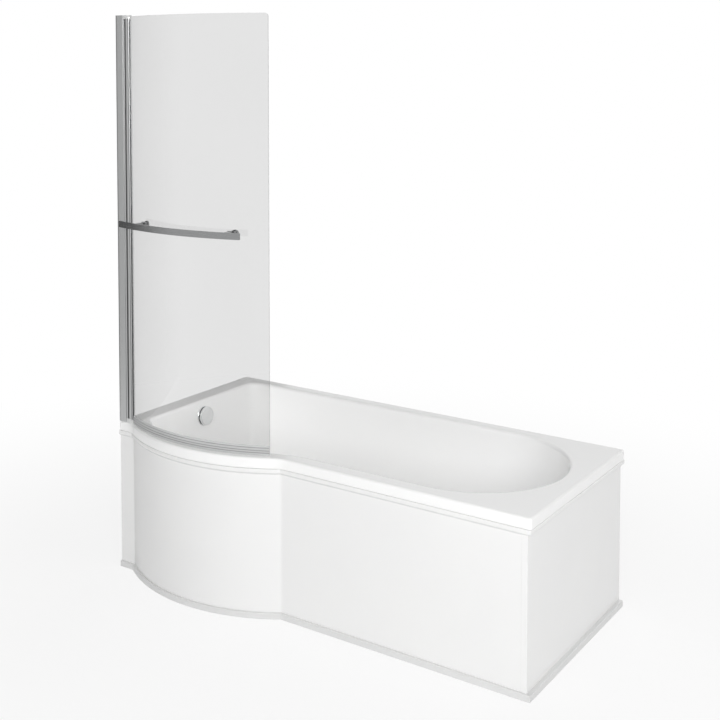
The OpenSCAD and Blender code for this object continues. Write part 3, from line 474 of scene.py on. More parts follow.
# Sawn softwood: growth rings about 4 mm apart run along the length, crossed by fine saw marks.
softwood = {}
for run, stretch in (("x", (3, 130, 130)), ("y", (130, 3, 130))):
    softwood[run], tree, place = new_finish("softwood_sawn_along_" + run)
    drawn = add(tree, "Mapping", {"Scale": stretch, "Vector": place})
    rings = add(tree, "TexNoise", {"Scale": 1.0, "Detail": 4.0, "Distortion": 1.2, "Vector": drawn})
    grain = add(tree, "ValToRGB", {"Fac": rings})
    grain.color_ramp.elements[0].position, grain.color_ramp.elements[1].position = 0.35, 0.68
    grain.color_ramp.elements[0].color = linear("#B98D57")
    grain.color_ramp.elements[1].color = linear("#E2C593")
    saw = add(tree, "TexWave", {
        "Scale": 260.0, "Distortion": 2.0, "bands_direction": run.upper(), "Vector": place})
    cut = add(tree, "Bump", {"Strength": 0.25, "Distance": 0.0003, "Height": saw.outputs["Fac"]})
    shade = add(tree, "BsdfPrincipled", {
        "Roughness": 0.75, "IOR": 1.45, "Base Color": grain, "Normal": cut})
    add(tree, "OutputMaterial", {"Surface": shade})

fitted(copied("base_board", 0.8), "bath", chipboard, "base_board")
for node, run in (("rim_batten_back", "x"), ("rim_batten_front", "x"), ("rim_batten_end", "y")):
    fitted(copied(node, 0.8), "bath", softwood[run], node)

# ---------------- Cross bars, centre plate and wall brackets ----------------
# Pressed sheet steel, punched and then dipped in bright zinc. The bars carry the feet, the plate
# backs the middle foot, and the brackets hold the rim to the two walls.

# Bright zinc plate with a thin passivated film: cool grey, softly mottled, with faint rolling
# lines about a millimetre apart.
zinc, tree, place = new_finish("steel_bright_zinc_plated")
cloud = add(tree, "TexNoise", {"Scale": 38.0, "Detail": 5.0, "Roughness": 0.62, "Vector": place})
film = add(tree, "Mix", {"data_type": "RGBA", 6: "#A9ADAF", 7: "#CDD0CF", 0: cloud})
rolled = add(tree, "Mapping", {"Scale": (900, 25, 900), "Vector": place})
lines = add(tree, "TexNoise", {"Scale": 1.0, "Detail": 2.0, "Vector": rolled})
rough = add(tree, "MapRange", {"To Min": 0.26, "To Max": 0.46, "Value": cloud})
drag = add(tree, "Bump", {"Strength": 0.08, "Distance": 0.0002, "Height": lines})
shade = add(tree, "BsdfPrincipled", {
    "Metallic": 1.0, "Base Color": film, "Roughness": rough, "Normal": drag})
add(tree, "OutputMaterial", {"Surface": shade})

for node in ("cross_bar_tap", "cross_bar_head", "centre_plate", "wall_bracket_1", "wall_bracket_2",
             "wall_bracket_3"):
    fitted(copied(node, 0.5), "bath", zinc, node)

# ---------------- Feet, studs and nuts ----------------
# Each leg is a length of rolled threaded rod in a moulded nylon pad. A hexagon nut locks the pad,
# and another holds the rod under its bar or plate.

bar_x, bar_y, foot_in = (420, 1085), (-590, -165), 22
foot_spots = [(x, y) for x in bar_x for y in (bar_y[0] + foot_in, bar_y[1] - foot_in)]
foot_spots.append((sum(bar_x) / 2, sum(bar_y) / 2))
board_t, bar_h, plate_t, pad_h = 18, 26, 3, 16
board_z = under_z - board_t
bar_z = board_z - bar_h

# Black nylon: an even satin skin off the mould's spark-eroded face, grain about 0.4 mm.
nylon, tree, place = new_finish("nylon_black_moulded")
spark = add(tree, "TexNoise", {"Scale": 1800.0, "Detail": 2.0, "Vector": place})
scuff = add(tree, "TexNoise", {"Scale": 60.0, "Detail": 4.0, "Vector": place})
black = add(tree, "Mix", {"data_type": "RGBA", 6: "#232325", 7: "#36363A", 0: scuff})
grained = add(tree, "Bump", {"Strength": 0.25, "Distance": 0.0002, "Height": spark})
shade = add(tree, "BsdfPrincipled", {
    "Roughness": 0.48, "IOR": 1.53, "Base Color": black, "Normal": grained})
add(tree, "OutputMaterial", {"Surface": shade})

pad_section = rounded([
    (0, 0, 0), (27, 0, 0.8), (27, 3, 1.2), (23, 6, 3), (14, 9, 4), (11, 16, 1), (6.4, 16, 0.6),
    (5, 14.5, 0.4), (5, 5, 0.3), (0, 5, 0)])
# The real rod's 1.5 mm pitch is drawn at 2.4 mm, so that its turns still show from a metre away
pitch, rod_r, crest = 2.4, 5.0, 0.7


def threaded(name, r, depth, length, step=24):
    """A threaded rod standing on the origin, in metres: its surface follows a helix."""
    rows = int(length / pitch * 4) + 1
    heights = np.linspace(0, length, rows)
    verts, faces = [(0, 0, 0)], []
    run_out = 1.5
    for z in heights:
        near_end = min(1, z / run_out, (length - z) / run_out)
        for k in range(step):
            phase = (z / pitch - k / step) % 1
            radius = r - depth * (1 - near_end) - depth * (abs(phase * 2 - 1)) * near_end
            a = 2 * math.pi * k / step
            verts.append((radius * math.cos(a), radius * math.sin(a), z))
    verts.append((0, 0, length))
    for k in range(step):
        j = (k + 1) % step
        faces.append([0, 1 + j, 1 + k])
        for i in range(rows - 1):
            a, b = 1 + i * step + k, 1 + i * step + j
            faces.append([a, b, b + step, a + step])
        last = len(verts) - 1
        faces.append([last, last - step + k, last - step + j])
    return solid(name, np.array(verts) / 1000, faces)


for i, (x, y) in enumerate(foot_spots):
    pad = moved(turned(f"foot_{i + 1}_pad", pad_section, 72), at(x, y, 0))
    fitted(eased(pad), "bath", nylon, f"foot_{i + 1}")
    top = bar_z + bar_h + 8 if i < 4 else board_z + 8
    rod = moved(threaded(f"stud_{i + 1}_rod", rod_r, crest, top - 5), at(x, y, 5))
    fitted(eased(rod), "bath", zinc, f"stud_{i + 1}")


def new_tree(name, inputs, output):
    """An empty Geometry Nodes tree with its named inputs and output, and what it is given."""
    tree = bpy.data.node_groups.new(name, "GeometryNodeTree")
    for one, kind in {**inputs, "Finish": "Material"}.items():
        tree.interface.new_socket(one, in_out="INPUT", socket_type="NodeSocket" + kind)
    tree.interface.new_socket(output, in_out="OUTPUT", socket_type="NodeSocketGeometry")
    return tree, add(tree, "NodeGroupInput").outputs


def end_tree(tree, last, given):
    """Ends a tree with plain meshes in their finish."""
    real = add(tree, "GeometryNodeRealizeInstances", {"Geometry": last})
    coat = add(tree, "GeometryNodeSetMaterial", {"Geometry": real, "Material": given["Finish"]})
    add(tree, "NodeGroupOutput", {0: coat})
    return tree


def set_at_points():
    """Geometry Nodes: the same piece stands at every point, each turned by its own angle."""
    tree, given = new_tree("fixings_at_points", {
        "Points": "Geometry", "Fixing": "Object", "Turn": "Float", "Seed": "Int"}, "Fixings")
    angle = add(tree, "FunctionNodeRandomValue", {
        "data_type": "FLOAT", 3: given["Turn"], "Seed": given["Seed"]})
    about_z = add(tree, "CombineXYZ", {"Z": angle.outputs[1]})
    spin = add(tree, "FunctionNodeEulerToRotation", {0: about_z})
    fixing = add(tree, "GeometryNodeObjectInfo", {"Object": given["Fixing"]})
    many = add(tree, "GeometryNodeInstanceOnPoints", {
        "Points": given["Points"], "Instance": fixing.outputs["Geometry"],
        "Rotation": spin})
    return end_tree(tree, many, given)


def run_tree(piece, tree, values):
    """Sets a tree's named inputs on a piece, and bakes what it makes into a plain mesh."""
    nodes = piece.modifiers.new("nodes", "NODES")
    nodes.node_group = tree
    for item in tree.interface.items_tree:
        if item.item_type == "SOCKET" and item.in_out == "INPUT" and item.name in values:
            nodes[item.identifier] = values[item.name]
    return baked(piece)


fixings = set_at_points()


def set_out(name, fixing, spots, finish):
    """One piece of a fixing at each spot of the bath's plan, upright; the fixing itself goes."""
    mesh = bpy.data.meshes.new(name)
    mesh.from_pydata(row(spots).tolist(), [], [])
    piece = run_tree(new_piece(name, mesh), fixings, {
        "Fixing": fixing, "Turn": 2 * math.pi, "Seed": 7, "Finish": finish})
    bpy.data.objects.remove(fixing)
    return piece


# Hexagon nut, chamfered at its corners by turning, with its bore left for the rod. Square cutters
# take off its flats, 17 mm across.
nut_blank = turned("nut", rounded([
    (5.05, 0, 0.5), (8.5, 0, 0), (9.75, 0.9, 0.3), (9.75, 7.1, 0.3), (8.5, 8, 0),
    (5.05, 8, 0.5)], 2), 48)
flat_out = Matrix.Translation((0.01486, 0, 0)) @ about(math.pi / 4)
flats = [moved(peg(9, -2, 10, 4), about(math.radians(60 * k + 30)) @ flat_out) for k in range(6)]
nut = eased(carved(nut_blank, *flats), 0.15, 1)
nut_h, bar_t = 8, 2
nut_spots = [(x, y, pad_h) for x, y in foot_spots]
nut_spots += [(x, y, (bar_z + bar_h - bar_t if i < 4 else board_z - plate_t) - nut_h)
              for i, (x, y) in enumerate(foot_spots)]
fitted(eased(set_out("lock_nuts_set", nut, nut_spots, zinc)), "bath", zinc,
       "lock_nuts")

# ---------------- Screws in the boards ----------------
# Pan-head wood screws, cold headed with a cross recess and then rolled with a coarse thread,
# hold the bars and the plate up to the board.

frame_screw_y, plate_hole = (-520, -430, -325, -235), 34


def joined(piece, *others):
    """Makes several pieces one object."""
    with bpy.context.temp_override(active_object=piece, selected_editable_objects=[piece, *others]):
        bpy.ops.object.join()
    return piece


head = turned("head", rounded([
    (0, 0, 0), (2.6, 0, 0), (2.6, -0.01, 0), (4.6, -0.01, 0.2), (4.6, -1.3, 0.9), (3.2, -2.5, 1.2),
    (0, -2.5, 0)], 3), 32)
# The recess is two flattened pyramids across each other
narrow = Matrix.Diagonal((1, 0.28, 1, 1)) @ about(math.pi / 4)
arms = [moved(turned("arm", [(0, -4), (2.6, -4), (1.7, -1.2), (0, -0.9)], 4),
              about(math.pi / 2 * k) @ narrow) for k in range(2)]
screw = joined(carved(head, *arms), threaded("shank", 2.5, 0.6, 14, 12))
centre = foot_spots[4]
screw_spots = [(x, y, bar_z + bar_h - bar_t) for x in bar_x for y in frame_screw_y]
screw_spots += [(centre[0] + x, centre[1] + y, board_z - plate_t)
                for x in (-plate_hole, plate_hole) for y in (-plate_hole, plate_hole)]
fitted(eased(set_out("frame_screws_set", screw, screw_spots, zinc)), "bath", zinc,
       "frame_screws")

# ---------------- Panels and plinths ----------------
# The front and end panels are vacuum-formed from white plastic sheet: a flat face, a cove, and a
# lip flush with the rim, with an upstand that springs up behind the skirt. Extruded plinth
# strips run along the floor in front of them.

panel_top, lip_h, cove, panel_t, plinth_h, plinth_w = rim_z - skirt_h, 14, 8, 4, 21, 26


def front_line(crease, x_end):
    """The front's plan at the rim's edge: straight, bulge and straight, creases rounded."""
    y = -bath_w
    # A small fillet outside each crease, tangent to the straight and to the bulge
    across = math.sqrt((bulge_r + crease) ** 2 - (bulge_c[1] - y + crease) ** 2)
    turn = math.degrees(math.atan2(y - crease - bulge_c[1], across))
    fillet_l, fillet_r = (bulge_c[0] - across, y - crease), (bulge_c[0] + across, y - crease)
    plan = np.concatenate([
        line((0, y), (fillet_l[0], y), 6),
        arc(fillet_l, crease, 90, -turn, 5),
        arc(bulge_c, bulge_r, -180 - turn, turn, 84),
        arc(fillet_r, crease, 180 + turn, 90, 5),
        line((fillet_r[0], y), (x_end, y), 24),
        [(x_end, y)]])
    return ring(plan, 0)


def mould_along():
    """Geometry Nodes: runs a section along a path, upright all the way and closed at its ends."""
    tree, given = new_tree("moulding_along_path", {"Path": "Geometry", "Section": "Object"},
                           "Moulding")
    section = add(tree, "GeometryNodeObjectInfo", {"Object": given["Section"]})
    upright = add(tree, "GeometryNodeSetCurveNormal", {"mode": "Z_UP", "Curve": given["Path"]})
    run = add(tree, "GeometryNodeCurveToMesh", {
        "Fill Caps": True, "Curve": upright, "Profile Curve": section.outputs["Geometry"]})
    return end_tree(tree, run, given)


def drawn_curve(name, points, closed=False):
    """A plain curve through points in metres."""
    made = bpy.data.curves.new(name, "CURVE")
    made.dimensions = "3D"
    spline = made.splines.new("POLY")
    spline.points.add(len(points) - 1)
    spline.points.foreach_set("co", np.column_stack([points, np.ones(len(points))]).ravel())
    spline.use_cyclic_u = closed
    return new_piece(name, made)


mouldings = mould_along()


def moulding(name, path, section, finish):
    """Runs a closed section of (outward, height) along a path of the bath's plan."""
    # Curve to Mesh lays a section's X outwards and its Y downwards
    flat = [(u / 1000, -v / 1000, 0) for u, v in section]
    outline = drawn_curve("section", flat, True)
    piece = run_tree(drawn_curve(name, row(path)), mouldings,
                     {"Section": outline, "Finish": finish})
    bpy.data.objects.remove(outline)
    bm = bmesh.new()
    bm.from_mesh(piece.data)
    bmesh.ops.remove_doubles(bm, verts=bm.verts, dist=1e-7)
    if bm.calc_volume(signed=True) < 0:
        bmesh.ops.reverse_faces(bm, faces=bm.faces)
    bm.to_mesh(piece.data)
    bm.free()
    return piece


box_faces = [[0, 1, 3, 2], [4, 6, 7, 5], [0, 4, 5, 1], [2, 3, 7, 6], [0, 2, 6, 4], [1, 5, 7, 3]]


def block(name, low, high, width=0.0, flare=(0, 0)):
    """A block between two corners, with its edges eased by width. Flare widens its top."""
    x, y, z = zip(low, high)
    verts = [(i + flare[0] * (i == x[1] and k == z[1]), j - flare[1] * (j == y[0] and k == z[1]), k)
             for i in x for j in y for k in z]
    piece = solid(name, row(verts), box_faces)
    return eased(piece, width, 3) if width else piece


def panel_section(recess):
    """The panel's outline, up its outer face and down its inner one."""
    tuck, top = -shell_t - 1, panel_top - 1
    low, lip = panel_top - lip_h - cove, panel_top - lip_h
    return rounded([
        (-recess, plinth_h, 0.4), (-recess, low, 5), (0, lip, 2.5), (0, top, 2.2), (tuck, top, 0.8),
        (tuck, panel_top + 14, 1), (tuck - panel_t, panel_top + 14, 1),
        (tuck - panel_t, top - panel_t, 1.5), (-panel_t, top - panel_t, 0.8),
        (-panel_t, lip + 2, 2), (-recess - panel_t, low - 2, 5),
        (-recess - panel_t, plinth_h, 0.4)])


# White plastic sheet, vacuum-formed: a softer gloss than the bath's, with the drawing's long
# waves and a very fine orange peel about 2 mm across.
formed, tree, place = new_finish("white_plastic_vacuum_formed")
tone = add(tree, "TexNoise", {"Scale": 3.0, "Detail": 2.0, "Vector": place})
colour = add(tree, "Mix", {"data_type": "RGBA", 6: "#EDEDED", 7: "#F1F1F0", 0: tone})
waves = add(tree, "TexNoise", {"Scale": 5.0, "Detail": 1.0, "Vector": place})
peel = add(tree, "TexNoise", {"Scale": 480.0, "Detail": 1.0, "Vector": place})
waved = add(tree, "Bump", {"Strength": 0.12, "Distance": 0.01, "Height": waves})
peeled = add(tree, "Bump", {"Strength": 0.04, "Distance": 0.0004, "Height": peel, "Normal": waved})
shade = add(tree, "BsdfPrincipled", {
    "Roughness": 0.27, "IOR": 1.5, "Base Color": colour, "Normal": peeled})
add(tree, "OutputMaterial", {"Surface": shade})

front_recess, end_recess, border_w, border_rise = 8, 14, 20, 1.5
face_end = bath_l - end_recess
front = moulding("front_panel_formed", front_line(5, bath_l), panel_section(front_recess), formed)
# Past the face, only the lip runs on to the corner
out_y, in_y = -bath_w - 10, 20 - bath_w
carved(front, block("below", (face_end, out_y, 0), (bath_l + 5, in_y, panel_top - lip_h)),
       block("above", (face_end, out_y, panel_top - 0.9), (bath_l + 5, in_y, panel_top + 20)),
       block("wall_end", (-5, out_y, panel_top - 0.9), (shell_t + 1, in_y, panel_top + 20)))
face_y = front_recess - bath_w
border = block("border", (face_end - border_w, face_y - border_rise, plinth_h),
               (face_end, face_y + 1, panel_top - lip_h - cove + 2), 1.2)
# A small wedge under the corner of the lip mitres the two coves
corner_cove = block("corner_cove", (face_end - 4, face_y + 0.4, panel_top - lip_h - cove),
                    (face_end - 0.3, face_y + panel_t - 0.1, panel_top - lip_h + 1), 0.4,
                    (end_recess - 0.6, front_recess - 0.4))
joined(eased(front), eased(border), eased(corner_cove))
fitted(front, "bath", formed, "front_panel")

end_line = [(bath_l, y, 0) for y in np.linspace(face_y + panel_t, 0, 14)]
end = moulding("end_panel_formed", end_line, panel_section(end_recess), formed)
carved(end, block("wall_side", (bath_l - 20, -shell_t - 1, panel_top - 0.9),
                  (bath_l, 5, panel_top + 20)))
corner_lip = block("corner_lip", (bath_l - panel_t, panel_t - bath_w, panel_top - lip_h),
                   (bath_l - 0.3, face_y + panel_t + 1, panel_top - 1), 1.2)
joined(eased(end), eased(corner_lip))
fitted(end, "bath", formed, "end_panel")

# Extruded rigid plastic strip: a plain satin white with fine lines along it from the die.
strip, tree, place = new_finish("white_plastic_extruded_strip")
die = add(tree, "Mapping", {"Scale": (2, 2, 1400), "Vector": place})
lines = add(tree, "TexNoise", {"Scale": 1.0, "Detail": 2.0, "Vector": die})
tone = add(tree, "TexNoise", {"Scale": 6.0, "Detail": 3.0, "Vector": place})
colour = add(tree, "Mix", {"data_type": "RGBA", 6: "#DBDBDB", 7: "#E0E0DF", 0: tone})
scored = add(tree, "Bump", {"Strength": 0.08, "Distance": 0.0003, "Height": lines})
shade = add(tree, "BsdfPrincipled", {
    "Roughness": 0.34, "IOR": 1.53, "Base Color": colour, "Normal": scored})
add(tree, "OutputMaterial", {"Surface": shade})

plinth_section = rounded([
    (0, 0, 0.3), (0, plinth_h - 2, 1.2), (-1.5, plinth_h, 1), (-plinth_w, plinth_h, 0.3),
    (-plinth_w, 0, 0.3), (3 - plinth_w, 0, 0.3), (3 - plinth_w, plinth_h - 3, 1),
    (-4, plinth_h - 3, 0.5), (-3, plinth_h - 4, 0.5), (-3, 0, 0.3)])
front_strip = eased(moulding("front_plinth_strip", front_line(4, bath_l), plinth_section, strip))
# A stop closes the strip's open end where it shows at the corner
joined(front_strip, block("end_stop", (bath_l - 3, 2.5 - bath_w, 0.3),
                          (bath_l - 0.3, plinth_w - 2.5 - bath_w, plinth_h - 2.5), 0.4))
fitted(front_strip, "bath", strip, "front_plinth")
end_line = [(bath_l, y, 0) for y in np.linspace(plinth_w - bath_w, 0, 14)]
end_strip = moulding("end_plinth_strip", end_line, plinth_section, strip)
fitted(eased(end_strip), "bath", strip, "end_plinth")

# ---------------- Panel clips ----------------
# Folded spring-steel angles screwed under the battens keep the panels' upstands up against the
# skirt. They are zinc plated as the frame is.

clip_in, clip_z = shell_t + 1 + panel_t + 0.5, rim_z - shell_t - (skirt_h - shell_t)


def prism(name, rings):
    """A closed mesh between two like rings of points, given one after the other."""
    count = len(rings) // 2
    faces = [[i, (i + 1) % count, count + (i + 1) % count, count + i] for i in range(count)]
    return solid(name, rings, faces + [list(range(count))[::-1], list(range(count, 2 * count))])


folded = rounded([(0, -1.5, 1.4), (22, -1.5, 0.3), (22, 0, 0.3), (1.5, 0, 0.5), (1.5, 11.5, 0.3),
                  (0, 11.5, 0.3)], 3)
clip = prism("clip", np.array([(x, y, z) for x in (-12.5, 12.5) for y, z in folded]) / 1000)
eased(clip, 0.2, 1)
clip_places = [at(x, clip_in - bath_w, clip_z) for x in (870, 1100, 1310)]
clip_places += [at(bath_l - clip_in, y, clip_z) @ about(math.pi / 2) for y in (-460, -290)]
clips = [moved(new_piece("panel_clips_set", clip.data.copy()), place) for place in clip_places]
bpy.data.objects.remove(clip)
fitted(joined(*clips), "bath", zinc, "panel_clips")

# ---------------- Waste ----------------
# A pop-up bath waste: a turned and chromed brass flange clamps the basin's floor on to a moulded
# body through a rubber washer, and its cap rides up and down on a stem in the flange's cross.

# Brass, polished and chrome plated: a near mirror with the faint haze of wiped water marks.
chrome, tree, place = new_finish("brass_chrome_plated_polished")
wiped = add(tree, "TexNoise", {"Scale": 120.0, "Detail": 5.0, "Roughness": 0.65, "Vector": place})
plate = add(tree, "Mix", {"data_type": "RGBA", 6: "#EAEBEC", 7: "#F1F2F2", 0: wiped})
rough = add(tree, "MapRange", {"To Min": 0.05, "To Max": 0.16, "Value": wiped})
shade = add(tree, "BsdfPrincipled", {"Metallic": 1.0, "Base Color": plate, "Roughness": rough})
add(tree, "OutputMaterial", {"Surface": shade})

# Moulded synthetic rubber: near black and dull, with a bloom of pale dust and a 0.5 mm grain.
rubber, tree, place = new_finish("rubber_black_moulded")
bloom = add(tree, "TexNoise", {"Scale": 90.0, "Detail": 5.0, "Vector": place})
dusted = add(tree, "Mix", {"data_type": "RGBA", 6: "#262627", 7: "#404041", 0: bloom})
grain = add(tree, "TexNoise", {"Scale": 1900.0, "Detail": 1.0, "Vector": place})
grained = add(tree, "Bump", {"Strength": 0.3, "Distance": 0.0002, "Height": grain})
shade = add(tree, "BsdfPrincipled", {
    "Roughness": 0.68, "IOR": 1.52, "Base Color": dusted, "Normal": grained})
add(tree, "OutputMaterial", {"Surface": shade})

# Injection-moulded polypropylene: a waxy, slightly clouded white with soft flow marks.
polypropylene, tree, place = new_finish("polypropylene_white_moulded")
flow = add(tree, "TexNoise", {"Scale": 35.0, "Detail": 3.0, "Distortion": 0.8, "Vector": place})
clouded = add(tree, "Mix", {"data_type": "RGBA", 6: "#E2E2DE", 7: "#EEEEEB", 0: flow})
rough = add(tree, "MapRange", {"To Min": 0.32, "To Max": 0.46, "Value": flow})
marks = add(tree, "Bump", {"Strength": 0.1, "Distance": 0.0005, "Height": flow})
shade = add(tree, "BsdfPrincipled", {
    "IOR": 1.49, "Subsurface Weight": 0.08, "Subsurface Scale": 0.002, "Base Color": clouded,
    "Roughness": rough, "Normal": marks})
add(tree, "OutputMaterial", {"Surface": shade})

flange_z, flange_t, stem_r, bore_r = floor_z - 3, 3, 4, 4.05
body_top, body_h, tail_r, tail_l, inlet_r, inlet_l = under_z - 3, 50, 23.9, 30, 15, 46
hose_r, hose_bore = 11, 8.5
inlet_z = body_top - body_h + 18

flange = eased(turned("waste_flange_turned", rounded([
    (19, -24, 0.4), (22, -24, 0.6), (22, 0, 0), (35, 0, 0.4), (35, 2, 0.9), (33, 3, 0.8),
    (27, 3, 3), (20.5, 0.5, 2), (19, -3, 1)]), 96), 0)
guide = eased(turned("guide", rounded([
    (bore_r, -20, 0.4), (9, -20, 0.6), (9, -11, 0.8), (bore_r, -11, 0.4)]), 48), 0)


def fins(count, out, up, width):
    """Upright fins 3 mm thick round Z, between two radii and two heights, their edges eased."""
    verts = np.array([(x, y, z) for x in out for y in (-1.5, 1.5) for z in up]) / 1000
    return [moved(eased(solid("fin", verts, box_faces), width), about(2 * math.pi / count * k))
            for k in range(count)]


# Each spoke starts inside the guide's wall, clear of the bore
spokes = fins(4, (6.5, 20), (-20, -12), 0.5)
moved(joined(flange, guide, *spokes), at(*waste, flange_z))
fitted(flange, "bath", chrome, "waste_flange")

washer = turned("waste_seal_moulded",
                rounded([(26, 0, 0.6), (36, 0, 0.8), (36, 3, 0.8), (26, 3, 0.6)]), 72)
fitted(eased(moved(washer, at(*waste, body_top)), 0), "bath", rubber, "waste_seal")

chamber = turned("waste_body_moulded", rounded([
    (20, -body_h - 2, 0), (30, -body_h, 1.5), (30, -4, 1), (37, -4, 1), (37, 0, 0.6), (22, 0, 0.6),
    (22, -24, 0.6), (20, -24, 0.6)]), 96)
inlet_turn = Matrix.Translation((0, 0, (inlet_z - body_top) / 1000)) @ about(-math.pi / 2, "Y")
port = moved(peg(hose_bore, 5, 60), inlet_turn)
eased(carved(chamber, port), 0)
inlet = moved(eased(turned("inlet", rounded([
    (hose_bore, 22, 0), (inlet_r, 22, 0), (inlet_r, inlet_l, 0.8), (hose_r, inlet_l, 0.8),
    (hose_r, 34, 0.3), (hose_bore, 34, 0.3)]), 64), 0), inlet_turn)
ribs = fins(8, (28, 35), (-body_h, -3), 0.7)
# The trap screws on here, so the tail is a coarse thread round the outlet
tail = threaded("tail", tail_r, 1.1, tail_l + 4, 64)
eased(carved(tail, peg(20, -5, tail_l + 9, 64)), 0)
moved(tail, Matrix.Translation((0, 0, (-body_h - tail_l) / 1000)))
moved(joined(chamber, inlet, tail, *ribs), at(*waste, body_top))
fitted(chamber, "bath", polypropylene, "waste_body")

plug_rise = flange_z + flange_t + 0.4
cap = turned("waste_plug_turned", rounded([
    (0, -38, 0), (stem_r, -38, 0.8), (stem_r, 0, 0), (30, 0, 0.4), (31, 1, 0.8), (31, 2.5, 1.2),
    (29, 4, 2.5), (12, 5, 12), (0, 5.2, 0)]), 96)
fitted(eased(moved(cap, at(*waste, plug_rise)), 0), "plug", chrome, "waste_plug")
ring_lip = turned("plug_ring_moulded", rounded([
    (stem_r, 0, 0), (25.5, 0, 0.05), (21, -1.9, 1.5), (18, -2.6, 0.8), (stem_r, -2.6, 0)]), 96)
fitted(eased(moved(ring_lip, at(*waste, plug_rise)), 0), "plug", rubber, "plug_ring")

# ---------------- Overflow ----------------
# A chromed plate clamps the tap-end wall to a moulded chamber. Water runs in behind the round
# cover, which turns to lift the plug.

dial_r, dial_z, dial_t, shaft_r = 36, 10, 9, 5
back_z = -shell_t - 3.5
plate = turned("overflow_plate_turned", rounded([
    (shaft_r + 0.05, -18, 0.3), (10, -18, 0.6), (10, 0, 0), (39, 0, 0.3), (39, 2, 1), (37, 4, 1),
    (shaft_r + 0.05, 4, 0.3)]), 96)
slot_out = Matrix.Translation((0.018, 0, 0))
slots = [moved(peg(5, -3, 7, 32), about(math.pi / 3 * k) @ slot_out) for k in range(6)]
moved(eased(carved(plate, *slots), 0.3), on_overflow)
fitted(plate, "bath", chrome, "overflow_face")

# The cover's face is dished by half a millimetre inside its rounded rim
dial = turned("overflow_dial_turned", rounded([
    (0, -16, 0), (shaft_r, -16, 0.6), (shaft_r, dial_z, 0), (dial_r, dial_z, 0.8),
    (dial_r, dial_z + 6, 2), (dial_r - 1, dial_z + 8, 1.2), (dial_r - 3, dial_z + dial_t, 1.4),
    (dial_r - 6, dial_z + dial_t - 0.5, 3), (0, dial_z + dial_t - 0.5, 0)]), 96)
fitted(eased(moved(dial, on_overflow), 0), "overflow_cover", chrome, "overflow_dial")

washer = turned("overflow_seal_moulded", rounded([
    (27, back_z, 0.6), (38, back_z, 0.8), (38, back_z + 3, 0.8), (27, back_z + 3, 0.6)]), 72)
fitted(eased(moved(washer, on_overflow), 0), "bath", rubber, "overflow_seal")

hose_x, hose_top = overflow_at[0] - 34, overflow_at[2] - 30
at_spout = at(hose_x, basin_mid, hose_top)
cup = turned("overflow_chamber_moulded", rounded([
    (0, back_z - 36, 0), (34, back_z - 36, 3), (34, back_z - 4, 1), (40, back_z - 4, 1),
    (40, back_z, 0.6), (27, back_z, 0.6), (27, back_z - 32, 1.5), (0, back_z - 32, 0)]), 96)
moved(cup, on_overflow)
eased(carved(cup, moved(peg(hose_bore, -30, 10), at_spout)), 0)
spout = moved(eased(turned("spout", rounded([
    (hose_bore, 0, 0.3), (hose_r, 0, 0.3), (hose_r, -14, 0.8), (15, -14, 0.8), (15, 3.5, 0),
    (hose_bore, 3.5, 0)]), 64), 0), at_spout)
fitted(joined(cup, spout), "bath", polypropylene, "overflow_body")

# ---------------- Overflow hose and its cable ----------------
# A blow-moulded corrugated hose drops from the overflow, turns under the basin and pushes into
# the waste. The cable that lifts the plug runs inside it.

turn_r, rib_r, rib_pitch, cuff_r = 60, 13, 8, 11.6
drop_z = inlet_z + turn_r
run_end = waste[0] - 34
rib_count = int((hose_top - drop_z - 18) / rib_pitch)


def hose_path(step):
    """The hose's middle line, from the waste to the overflow."""
    run, drop = run_end - hose_x - turn_r, hose_top - drop_z
    points = [(run_end - s, inlet_z) for s in np.linspace(0, run, int(run / step) + 1)[:-1]]
    bend = arc((hose_x + turn_r, drop_z), turn_r, 270, 180, int(turn_r * math.pi / 2 / step))
    points += [tuple(p) for p in bend]
    points += [(hose_x, drop_z + s) for s in np.linspace(0, drop, int(drop / step) + 1)]
    return np.array([(x, basin_mid, z) for x, z in points])


